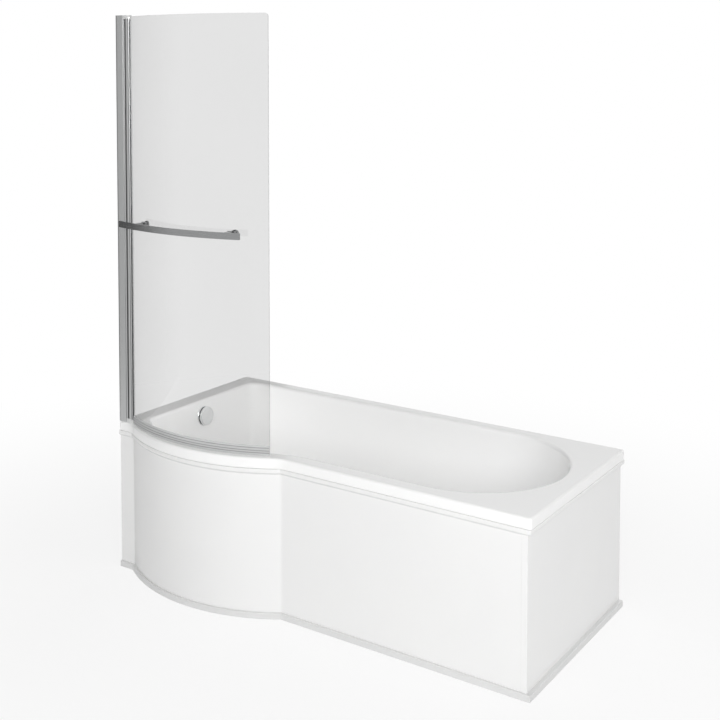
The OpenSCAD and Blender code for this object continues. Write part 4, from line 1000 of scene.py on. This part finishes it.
def corrugated():
    """Geometry Nodes: an open tube along a path, swelling to a rib at each pitch from a start
    to a last rib, with a cuff before the first."""
    sizes = dict.fromkeys(("Bore", "Outside", "Rib", "Cuff", "Pitch", "First", "Last"), "Float")
    tree, given = new_tree("corrugated_hose", {"Path": "Geometry", **sizes}, "Hose")
    fine = add(tree, "GeometryNodeResampleCurve", {
        "mode": "LENGTH", "Length": 0.00098, "Curve": given["Path"]})
    along = add(tree, "GeometryNodeSplineParameter")
    past = add(tree, "Math", {
        "operation": "SUBTRACT", 0: along.outputs["Length"], 1: given["First"]})
    turns = add(tree, "Math", {"operation": "DIVIDE", 0: past, 1: given["Pitch"]})
    share = add(tree, "Math", {"operation": "FRACT", 0: turns})
    # A rib stands on the middle of each pitch, with a rounded crest
    off = add(tree, "Math", {"operation": "SUBTRACT", 1: 0.5625, 0: share})
    away = add(tree, "Math", {"operation": "ABSOLUTE", 0: off})
    crest = add(tree, "MapRange", {
        "interpolation_type": "SMOOTHSTEP", "From Min": 0.34, "From Max": 0.16, "Value": away})
    begun = add(tree, "Math", {"operation": "GREATER_THAN", 1: 0.0, 0: past})
    ends = add(tree, "Math", {
        "operation": "LESS_THAN", 0: along.outputs["Length"], 1: given["Last"]})
    within = add(tree, "Math", {"operation": "MULTIPLY", 0: begun, 1: ends})
    swell = add(tree, "Math", {"operation": "MULTIPLY", 0: crest, 1: within})
    ribbed = add(tree, "Mix", {
        "data_type": "FLOAT", 0: swell, 2: given["Outside"], 3: given["Rib"]})
    before = add(tree, "Math", {"operation": "ABSOLUTE", 0: past})
    cuffed = add(tree, "Math", {"operation": "LESS_THAN", 1: 0.002, 0: before})
    outer = add(tree, "Mix", {"data_type": "FLOAT", 0: cuffed, 2: ribbed, 3: given["Cuff"]})
    # The outside closes on to the bore at both ends of the path
    tips = add(tree, "GeometryNodeCurveEndpointSelection")
    closed = add(tree, "Mix", {"data_type": "FLOAT", 0: tips, 2: outer, 3: given["Bore"]})
    skins = []
    for radius in (closed, given["Bore"]):
        hoop = add(tree, "GeometryNodeCurvePrimitiveCircle", {"Resolution": 32, "Radius": 1.0})
        skin = add(tree, "GeometryNodeCurveToMesh", {
            "Curve": fine, "Profile Curve": hoop, "Scale": radius})
        skins.append(skin)
    inside = add(tree, "GeometryNodeFlipFaces", {"Mesh": skins[1]})
    both = add(tree, "GeometryNodeJoinGeometry", {0: skins[0]})
    tree.links.new(inside.outputs[0], both.inputs[0])
    welded = add(tree, "GeometryNodeMergeByDistance", {"Distance": 0.000002, "Geometry": both})
    return end_tree(tree, welded, given)


# Blow-moulded polyethylene: mid grey and waxy, its gloss broken by drawn streaks round the wall.
polyethylene, tree, place = new_finish("polyethylene_grey_blow_moulded")
streak = add(tree, "Mapping", {"Scale": (60, 60, 600), "Vector": place})
streaks = add(tree, "TexNoise", {"Scale": 1.0, "Detail": 3.0, "Vector": streak})
waxy = add(tree, "Mix", {"data_type": "RGBA", 6: "#A9ABAC", 7: "#BDBFBF", 0: streaks})
rough = add(tree, "MapRange", {"To Min": 0.34, "To Max": 0.52, "Value": streaks})
shade = add(tree, "BsdfPrincipled", {"IOR": 1.51, "Base Color": waxy, "Roughness": rough})
add(tree, "OutputMaterial", {"Surface": shade})

drop_start = run_end - hose_x - turn_r + turn_r * math.pi / 2
hose = run_tree(drawn_curve("overflow_hose_ribbed", row(hose_path(2))), corrugated(), {
    "Bore": hose_bore / 1000, "Outside": hose_r / 1000, "Rib": rib_r / 1000, "Cuff": cuff_r / 1000,
    "Pitch": rib_pitch / 1000, "First": drop_start / 1000,
    "Last": (drop_start + rib_count * rib_pitch) / 1000,
    "Finish": polyethylene})
fitted(eased(hose, 0), "bath", polyethylene, "overflow_hose")

# Steel cable in an extruded sleeve: dark grey, with the strands' lay showing through at 3 mm.
sleeve, tree, place = new_finish("cable_sleeve_grey_extruded")
lay = add(tree, "TexWave", {
    "Scale": 100.0, "Distortion": 0.3, "bands_direction": "DIAGONAL", "Vector": place})
drawn = add(tree, "Mix", {"data_type": "RGBA", 6: "#5C5E60", 7: "#747678", 0: lay.outputs["Fac"]})
stranded = add(tree, "Bump", {"Strength": 0.3, "Distance": 0.0002, "Height": lay.outputs["Fac"]})
shade = add(tree, "BsdfPrincipled", {
    "Roughness": 0.45, "IOR": 1.5, "Base Color": drawn, "Normal": stranded})
add(tree, "OutputMaterial", {"Surface": shade})
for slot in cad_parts["lift_cable"].material_slots:
    slot.material = sleeve

# ---------------- Screen, fixed side ----------------
# An extruded aluminium channel is screwed to the wall, a box profile slides out of it to meet the
# rim's line, and a moulded cap at each end holds a steel pivot pin for the glass to turn on.

# Aluminium, extruded and satin anodised: a soft grey metal with fine upright lines from the die,
# really about 0.1 mm apart and drawn at 1 mm so that they show.
aluminium, tree, place = new_finish("aluminium_satin_anodised")
die = add(tree, "Mapping", {"Scale": (950, 950, 1.5), "Vector": place})
lines = add(tree, "TexNoise", {"Scale": 1.0, "Detail": 2.0, "Vector": die})
etched = add(tree, "TexNoise", {"Scale": 2600.0, "Detail": 1.0, "Vector": place})
tone = add(tree, "Mix", {"data_type": "RGBA", 6: "#B4B5B5", 7: "#C0C1C1", 0: lines})
rough = add(tree, "MapRange", {"To Min": 0.3, "To Max": 0.4, "Value": etched})
drawn = add(tree, "Bump", {"Strength": 0.06, "Distance": 0.0003, "Height": lines})
shade = add(tree, "BsdfPrincipled", {
    "Metallic": 1.0, "Base Color": tone, "Roughness": rough, "Normal": drawn})
add(tree, "OutputMaterial", {"Surface": shade})

# Moulded ABS, pale grey: an even satin with a fine spark-eroded grain.
abs_grey, tree, place = new_finish("abs_pale_grey_moulded")
spark = add(tree, "TexNoise", {"Scale": 2000.0, "Detail": 2.0, "Vector": place})
tint = add(tree, "TexNoise", {"Scale": 45.0, "Detail": 2.0, "Vector": place})
tone = add(tree, "Mix", {"data_type": "RGBA", 6: "#CDCECE", 7: "#D5D5D4", 0: tint})
grained = add(tree, "Bump", {"Strength": 0.2, "Distance": 0.0002, "Height": spark})
shade = add(tree, "BsdfPrincipled", {
    "Roughness": 0.42, "IOR": 1.54, "Base Color": tone, "Normal": grained})
add(tree, "OutputMaterial", {"Surface": shade})

screen_z, screen_h, cap_h, screen_y = (rim_z, rim_z + 1520), 1520, 14, 12 - bath_w
pivot = np.array([57.0, screen_y])
channel_x, channel_half, adjuster_x, adjuster_half, bead_r = 38, 12, (12, 44.5), 10, 12
clamp_z = (screen_z[0] + cap_h + 0.6, screen_z[1] - cap_h - 0.6)


def upright(name, plan, z0, z1):
    """A closed outline of the bath's plan, as a prism between two heights."""
    return prism(name, row([(x, y, z) for z in (z0, z1) for x, y in plan]))


def shifted(points, dx, dy):
    """Corners of (x, y, radius) moved in the plan."""
    return [(x + dx, y + dy, r) for x, y, r in points]


def box_plan(x0, x1, half, r):
    """A rectangle in the plan, centred on the screen's line."""
    return rounded(shifted([(x0, -half, r), (x1, -half, r), (x1, half, r), (x0, half, r)], 0,
                           screen_y))


wall_t = 1.8
swing = np.radians(np.linspace(90, 0, 13))
# The front corner by the wall is drawn as a long soft curve, 10 mm by 5 mm
outer_curve = [(10 - 10 * math.sin(t), 5 - channel_half - 5 * math.cos(t), 0) for t in swing]
inner_curve = [(10 - 8.2 * math.sin(t), 5.4 - channel_half - 3.6 * math.cos(t), 0)
               for t in swing[::-1]]
channel_plan = rounded(shifted(outer_curve + [
    (channel_x, -channel_half, 0.5), (channel_x, wall_t - channel_half, 0.5)] + inner_curve + [
    (wall_t, channel_half - wall_t, 0.6), (channel_x, channel_half - wall_t, 0.5),
    (channel_x, channel_half, 0.5), (0, channel_half, 0.8)], 0, screen_y))
channel = upright("wall_channel_extruded", channel_plan, *screen_z)
screw_heights = [screen_z[0] + rise for rise in (80, 530, 980, 1430)]
drills = [moved(peg(2.75, -3, 5, 32), at(0, screen_y, z) @ about(math.pi / 2, "Y"))
          for z in screw_heights]
fitted(eased(carved(eased(channel, 0.2), *drills), 0), "bath", aluminium,
       "wall_channel")

adjuster = upright("adjuster_profile_extruded", box_plan(*adjuster_x, adjuster_half, 0.8),
                   screen_z[0] + cap_h + 1, screen_z[1] - cap_h)
in_x, in_half = (adjuster_x[0] + 1.5, adjuster_x[1] - 1.5), adjuster_half - 1.5
core = upright("core", box_plan(*in_x, in_half, 0.5), *screen_z)
fitted(eased(carved(adjuster, core), 0.2), "bath", aluminium, "adjuster_profile")


def cap_plan(x0, r):
    """A hinge cap's plan: a block with a round end over the pivot."""
    corner = rounded(shifted([(pivot[0], r, 0), (x0, r, 1), (x0, -r, 1), (pivot[0], -r, 0)], 0,
                             screen_y))
    return corner + [tuple(p) for p in arc(pivot, r, -90, 90, 40)[1:]]


cap_z, foot_z = screen_z[1] - cap_h, screen_z[0] + cap_h
cap = upright("hinge_cap_top_moulded", cap_plan(channel_x + 0.4, bead_r), cap_z, screen_z[1])
carved(eased(cap, 0.9, 3), moved(peg(4, -1, 9), at(*pivot, cap_z)))
tongue = upright("tongue", box_plan(*in_x, in_half, 0.5), cap_z - 10, cap_z + 1)
bridge = upright("bridge", box_plan(in_x[0], channel_x + 1.9, in_half, 0.5), cap_z, cap_z + 8)
fitted(joined(eased(cap, 0), eased(tongue, 0.4), eased(bridge, 0.5)), "bath",
       abs_grey, "hinge_cap_top")

foot = upright("hinge_cap_bottom_moulded", cap_plan(adjuster_x[0], adjuster_half), screen_z[0],
               foot_z)
carved(eased(foot, 0.7, 3), moved(peg(4, -9, 1), at(*pivot, foot_z)))
fitted(eased(foot, 0), "bath", abs_grey, "hinge_cap_bottom")

for node in ("pivot_pin_top", "pivot_pin_bottom"):
    fitted(copied(node, 0.5), "bath", zinc, node)

# The soft strips are half round where they wipe the turning bead
strips = []
for side in (-8, 8):
    plan = rounded(shifted([(0, -0.8, 0), (2.4, -0.8, 0.75), (2.4, 0.8, 0.75), (0, 0.8, 0)],
                           adjuster_x[1], screen_y + side))
    strips.append(upright("hinge_seal_strips", plan, *clamp_z))
fitted(eased(joined(*strips), 0), "bath", rubber, "hinge_seal")

# ---------------- Screen, turning side ----------------
# A bead with a jaw, extruded and anodised as the wall channel is, turns on the pins and grips the
# edge of a pane of bent toughened glass between two rubber strips.

glass_r, glass_t, glass_lead, glass_end = 700, 6, math.radians(-28), 716
jaw_l, jaw_half, slot_from, slot_half, gasket_t = 12, 7.5, -2, 4, 0.8
glass_from = pivot + 9 * np.array([math.cos(glass_lead), math.sin(glass_lead)])
glass_to = np.array([glass_end, screen_y - 6])
chord = glass_to - glass_from
chord_l = np.linalg.norm(chord)
glass_c = (glass_from + glass_to) / 2 + math.sqrt(glass_r**2 - chord_l**2 / 4) * np.array(
    [-chord[1], chord[0]]) / chord_l
glass_a = [math.degrees(math.atan2(*(p - glass_c)[::-1])) for p in (glass_from, glass_to)]
jaw_turn = math.radians(glass_a[0] + 90)


def glass_at(s):
    """The angle on the glass's arc at a distance along it from the hinge."""
    return glass_a[0] + math.degrees(s / glass_r)


def on_jaw(x, y):
    """A point of the jaw's own plan, drawn along +X, in the bath's plan."""
    c, s = math.cos(jaw_turn), math.sin(jaw_turn)
    return (glass_from[0] + c * x - s * y, glass_from[1] + s * x + c * y)


# The jaw leaves the bead where its two sides meet the bead's circle
c, s = math.cos(jaw_turn), math.sin(jaw_turn)
back_x, back_y = pivot - glass_from
hub_x, hub_y = c * back_x + s * back_y, -s * back_x + c * back_y
low_x, high_x = (hub_x + math.sqrt(bead_r**2 - (y - hub_y) ** 2) for y in (-jaw_half, jaw_half))
jaw = rounded([
    (low_x, -jaw_half, 0), (jaw_l, -jaw_half, 1.2), (jaw_l, -slot_half, 0.5),
    (slot_from, -slot_half, 0.5), (slot_from, slot_half, 0.5), (jaw_l, slot_half, 0.5),
    (jaw_l, jaw_half, 1.2), (high_x, jaw_half, 0)], 5)
first = math.degrees(math.atan2(jaw_half - hub_y, high_x - hub_x))
last = math.degrees(math.atan2(-jaw_half - hub_y, low_x - hub_x)) + 360
round_back = arc((hub_x, hub_y), bead_r, first, last, 90)[1:]
clamp_plan = [on_jaw(*p) for p in jaw + [tuple(p) for p in round_back]]
clamp = upright("clamp_profile_extruded", clamp_plan, *clamp_z)
bore = peg(bore_r, -5, screen_h, 64)
carved(clamp, moved(bore, at(*pivot, clamp_z[0] - 10)))
fitted(eased(clamp, 0.25), "screen", aluminium, "clamp_profile")


def round_glass(start, end, r, step=1.0):
    """Points of the plan along the glass's arc, at a radius, from one angle to the other."""
    return arc(glass_c, r, start, end, max(2, int(abs(end - start) / step)), True)


gaskets = []
for side in (-1, 1):
    near, far = (glass_r + side * (glass_t / 2 + 0.45) + d for d in (-gasket_t / 2, gasket_t / 2))
    # The lip that shows stands half a millimetre out of the jaw, with a rounded nose
    a0, a1 = glass_at(4), glass_at(jaw_l + 0.5)
    plan = np.concatenate([round_glass(a0, a1, near, 0.1), round_glass(a1, a0, far, 0.1)])
    gaskets.append(eased(upright("glazing_gasket_strips", plan, *clamp_z), 0.3, 3))
fitted(joined(*gaskets), "screen", rubber, "glazing_gasket")

# Float glass, bent and toughened, with a neutral grey cast: clear and flat, with the very faint
# roller wave of the bending furnace about 300 mm long. Lamps pass straight through it.
glass, tree, place = new_finish("float_glass_bent_toughened")
wave = add(tree, "TexNoise", {"Scale": 3.3, "Detail": 0.0, "Vector": place})
rolled = add(tree, "Bump", {"Strength": 0.03, "Distance": 0.002, "Height": wave})
cast = add(tree, "Mix", {"data_type": "RGBA", 6: "#E1E1E1", 7: "#E4E4E4", 0: wave})
shade = add(tree, "BsdfPrincipled", {
    "Transmission Weight": 1.0, "Roughness": 0.0, "IOR": 1.5, "Base Color": cast, "Normal": rolled})
clear = add(tree, "BsdfTransparent", {"Color": "#F8F8F8"})
rays_are = add(tree, "LightPath")
through = add(tree, "MixShader", {0: rays_are.outputs["Is Shadow Ray"], 1: shade, 2: clear})
add(tree, "OutputMaterial", {"Surface": through})

glass_z = (rim_z + 12, screen_z[1] - 6)
rail_z = rim_z + 760
post_x, post_rise = (192, 600), 4
arris = 0.8
pane_line = ring(round_glass(glass_at(4), glass_a[1], glass_r, 0.7), 0)
pane = moulding("glass_panel_bent", pane_line, rounded([
    (-glass_t / 2, glass_z[0], arris), (glass_t / 2, glass_z[0], arris),
    (glass_t / 2, glass_z[1], arris), (-glass_t / 2, glass_z[1], arris)], 3), glass)
# The free corner at the top is ground round
corner_r = 12
ground = [(-corner_r + corner_r * math.sin(t), -corner_r + corner_r * math.cos(t))
          for t in np.radians(np.linspace(0, 90, 19))[::-1]]
ground = [(1, 1), (1, -corner_r)] + ground + [(-corner_r, 1)]
verts = [(x, t, z + glass_z[1]) for x in (glass_r - 20, glass_r + 20) for t, z in ground]
corner = moved(prism("corner", np.array(verts) / 1000),
               at(*glass_c, 0) @ about(math.radians(glass_a[1])))
holes = [moved(peg(4, -200, 200), at(x, -bath_w, rail_z + post_rise) @ about(math.pi / 2, "X"))
         for x in post_x]
fitted(eased(carved(pane, corner, *holes), 0.6, 2), "screen", glass, "glass_panel")

# Extruded soft PVC, clear but milky: what lies behind it shows through greyed, with long
# streaks along its run from the die.
soft_pvc, tree, place = new_finish("pvc_soft_clear_extruded")
along = add(tree, "Mapping", {"Scale": (12, 12, 500), "Vector": place})
milk = add(tree, "TexNoise", {"Scale": 1.0, "Detail": 3.0, "Vector": along})
milky = add(tree, "Mix", {"data_type": "RGBA", 6: "#DADBDB", 7: "#E3E4E4", 0: milk})
# Darker bands are painted at the three ribs as painted shade, standing in for the shade of ribs too
# small to show: drawn 3 mm high, twice their real height
seal_ribs, rib_h, drawn_h = (26, 16.5, 8.6), 1.6, 40
apart = add(tree, "SeparateXYZ", {"Vector": place})
height = add(tree, "MapRange", {
    "From Min": rim_z / 1000, "From Max": (rim_z + drawn_h) / 1000, "Value": apart.outputs["Z"]})
# A mask of painted shade bands at the three ribs' heights
ribs = add(tree, "ValToRGB", {"Fac": height})
ribs.color_ramp.elements[1].color = (0, 0, 0, 1)
for rise in seal_ribs:
    for edge, tone in ((-2, 0), (-1, 1), (1, 1), (2, 0)):
        middle = (rise + rib_h / 2 + edge) / drawn_h
        ribs.color_ramp.elements.new(middle).color = (tone, tone, tone, 1)
# The painted rib shade is mixed into the milky colour
milky_with_painted_rib_shade = add(tree, "Mix", {"data_type": "RGBA", 7: "#AEAFAF", 0: ribs, 6: milky})
rough = add(tree, "MapRange", {"To Min": 0.22, "To Max": 0.36, "Value": milk})
shade = add(tree, "BsdfPrincipled", {
    "Alpha": 0.5, "IOR": 1.53, "Base Color": milky_with_painted_rib_shade, "Roughness": rough})
add(tree, "OutputMaterial", {"Surface": shade})

grip, fin, low = glass_t / 2 + 0.1, 1.2, rim_z + 0.5
out = grip + 1.6
web, inner = rim_z + 10, rim_z + 11.9
seal_top = rim_z + 33
ribbed = [(out, seal_top, 0.7)]
for rise in seal_ribs:
    under, over = rim_z + rise, rim_z + rise + rib_h
    ribbed += [(out, over, 0.2), (out + 0.7, over, 0.35), (out + 0.7, under, 0.35),
               (out, under, 0.2)]
seal_section = rounded([(grip, seal_top, 0.5)] + ribbed + [
    (out, low, 0.5), (out - fin, low, 0.5), (out - fin, web, 0.4), (fin / 2, web, 0.4),
    (fin / 2, low, 0.5), (-fin / 2, low, 0.5), (-fin / 2, web, 0.4), (fin - out, web, 0.4),
    (fin - out, low, 0.5), (-out, low, 0.5), (-out, seal_top, 0.7), (-grip, seal_top, 0.5),
    (-grip, inner, 0.2), (grip, inner, 0.2)], 3)
seal_line = ring(round_glass(glass_at(18), glass_a[1], glass_r, 0.7), 0)
seal = moulding("bottom_seal_extruded", seal_line, seal_section, soft_pvc)
fitted(eased(seal, 0), "screen", soft_pvc, "bottom_seal")

# ---------------- Towel rail ----------------
# A flat steel bar bent to a gentle bow stands off the glass on two posts. Screws through the glass
# hold it, with soft washers on both faces and round caps over the heads on the shower side.

# Steel, satin plated and brushed lengthways: a darker grey than the channel, its grain level.
satin, tree, place = new_finish("steel_satin_plated_brushed")
brush = add(tree, "Mapping", {"Scale": (14, 14, 1500), "Vector": place})
strokes = add(tree, "TexNoise", {"Scale": 1.0, "Detail": 3.0, "Vector": brush})
tone = add(tree, "Mix", {"data_type": "RGBA", 6: "#8A8B8C", 7: "#989999", 0: strokes})
rough = add(tree, "MapRange", {"To Min": 0.2, "To Max": 0.32, "Value": strokes})
brushed = add(tree, "Bump", {"Strength": 0.05, "Distance": 0.0003, "Height": strokes})
shade = add(tree, "BsdfPrincipled", {
    "Metallic": 1.0, "Base Color": tone, "Roughness": rough, "Normal": brushed})
add(tree, "OutputMaterial", {"Surface": shade})

rail_r, rail_mid_x, rail_front, rail_t, rail_h, rail_half = 950, 370, 870, 9, 23, 282
rail_c = (rail_mid_x, rail_r - rail_front + rail_t / 2)
rail_a = math.degrees(math.asin(rail_half / rail_r))
bow = arc(rail_c, rail_r, -90 - rail_a, -90 + rail_a, 72, True)
bar_corners = [(x, rail_z + z, 1.6) for x, z in (
    (-rail_t / 2, -rail_h / 2), (rail_t / 2, -rail_h / 2), (rail_t / 2, rail_h / 2),
    (-rail_t / 2, rail_h / 2))]
bar = moulding("rail_bar_bowed", ring(bow, 0), rounded(bar_corners, 4), satin)
fitted(eased(bar, 0.7, 2), "screen", satin, "rail_bar")
for node in ("rail_bracket_left", "rail_bracket_right", "rail_caps"):
    fitted(copied(node, 0.6, 2, 1.6), "screen", satin, node)
fitted(copied("rail_washers", 0.2, 2, 1.6), "screen", rubber, "rail_washers")
fitted(copied("rail_screws", 0.3, 2, 1.6), "screen", zinc, "rail_screws")

# ---------------- The room ----------------
# A plain white studio: a soft band of light all round, one large lamp in front, a weaker one
# behind, and a grey card at the tap end that gives the metal and the glass their darker side.

scene = bpy.context.scene
scene.view_settings.view_transform = "Standard"



def plainly_seen(tree):
    """1 for a ray from the camera, off a glossy piece or through a clear one, else 0."""
    kinds = add(tree, "LightPath").outputs
    seen = add(tree, "Math", {
        "operation": "MAXIMUM", 0: kinds["Is Camera Ray"], 1: kinds["Is Glossy Ray"]})
    return add(tree, "Math", {"operation": "MAXIMUM", 0: seen, 1: kinds["Is Transmission Ray"]})


world = bpy.data.worlds.new("studio")
scene.world = world
world.use_nodes = True
tree = world.node_tree
tree.nodes.clear()
seen = plainly_seen(tree)
# Matt surfaces are lit by the band from about 15 to 50 degrees up
apart = add(tree, "SeparateXYZ", {"Vector": add(tree, "TexCoord").outputs["Generated"]})
band = add(tree, "ValToRGB", {"Fac": apart.outputs["Z"]})
band.color_ramp.elements[1].color = (0, 0, 0, 1)
for height, tone in ((0.2, 0), (0.36, 1), (0.66, 1), (0.84, 0)):
    band.color_ramp.elements.new(height).color = (tone, tone, tone, 1)
soft = add(tree, "MapRange", {"To Max": 1.17, "Value": band})
light = add(tree, "Mix", {3: 1.0, 0: seen, 2: soft})
sky = add(tree, "Background", {"Color": (1, 1, 1, 1), "Strength": light})
add(tree, "OutputWorld", {"Surface": sky})


def lamp(name, start, aim, size, power):
    """A soft rectangular lamp pointing at a place."""
    data = bpy.data.lights.new(name, "AREA")
    data.shape, data.size, data.size_y, data.energy = "RECTANGLE", size[0], size[1], power
    one = new_piece(name, data)
    one.location = start
    one.rotation_euler = (Vector(aim) - Vector(start)).to_track_quat("-Z", "Y").to_euler()
    return one


lamp("front_lamp", (3.0, -4.1, 2.6), (0, 0, 0.4), (2.6, 2.4), 137)
back_lamp = lamp("back_lamp", (-0.6, 4.6, 1.2), (0, 0, 0.5), (3.0, 2.0), 72)
back_lamp.visible_camera = back_lamp.visible_glossy = back_lamp.visible_transmission = False


def sheet_of(name, corners, finish):
    """A flat sheet of the studio, which isn't part of the object."""
    mesh = bpy.data.meshes.new(name)
    mesh.from_pydata(corners, [], [[0, 1, 2, 3]])
    mesh.materials.append(finish)
    made = new_piece(name, mesh)
    return made


# White studio floor: it keeps the object's shadow close by, and is plain white from 3 m out
floor_white, tree, place = new_finish("studio_floor_white")
away = add(tree, "VectorMath", {"operation": "LENGTH", 0: place})
lifted = add(tree, "MapRange", {
    "interpolation_type": "SMOOTHSTEP", "From Min": 0.9, "From Max": 3.0, "To Min": 0.8,
    "To Max": 1.0, "Value": away.outputs["Value"]})
seen = plainly_seen(tree)
share = add(tree, "Math", {"operation": "MULTIPLY", 0: seen, 1: lifted})
matt = add(tree, "BsdfDiffuse", {"Color": (0.9, 0.9, 0.9, 1)})
glow = add(tree, "Emission", {"Color": (1, 1, 1, 1), "Strength": 1.0})
mixed = add(tree, "MixShader", {0: share, 1: matt, 2: glow})
add(tree, "OutputMaterial", {"Surface": mixed})
floor_half = 25
sheet_of("studio_floor", [(floor_half * x, floor_half * y, 0) for x, y in (
    (-1, -1), (1, -1), (1, 1), (-1, 1))], floor_white)

# Grey card with a soft near edge
card_grey, tree, place = new_finish("studio_card_grey")
apart = add(tree, "SeparateXYZ", {"Vector": place})
there = add(tree, "MapRange", {
    "interpolation_type": "SMOOTHSTEP", "From Min": -2.9, "From Max": -0.8,
    "Value": apart.outputs["Y"]})
matt = add(tree, "BsdfDiffuse", {"Color": "#898989"})
gone = add(tree, "BsdfTransparent")
mixed = add(tree, "MixShader", {0: there, 1: gone, 2: matt})
add(tree, "OutputMaterial", {"Surface": mixed})
card_x, card_top = -2.6, 3.2
card = sheet_of("studio_card", [
    (card_x, -3.4, 0.01), (card_x, 3.0, 0.01), (card_x, 3.0, card_top), (card_x, -3.4, card_top)],
    card_grey)
card.visible_camera = card.visible_transmission = False

camera = bpy.data.cameras.new("camera")
camera.sensor_width, camera.lens = 36, 58.3
camera.shift_x, camera.shift_y = 0.0071, -0.33
view = new_piece("camera", camera)
view.location = (2.308, -3.407, 1.907)
view.rotation_euler = (math.radians(87.05), 0, math.radians(34.01))
scene.camera = view
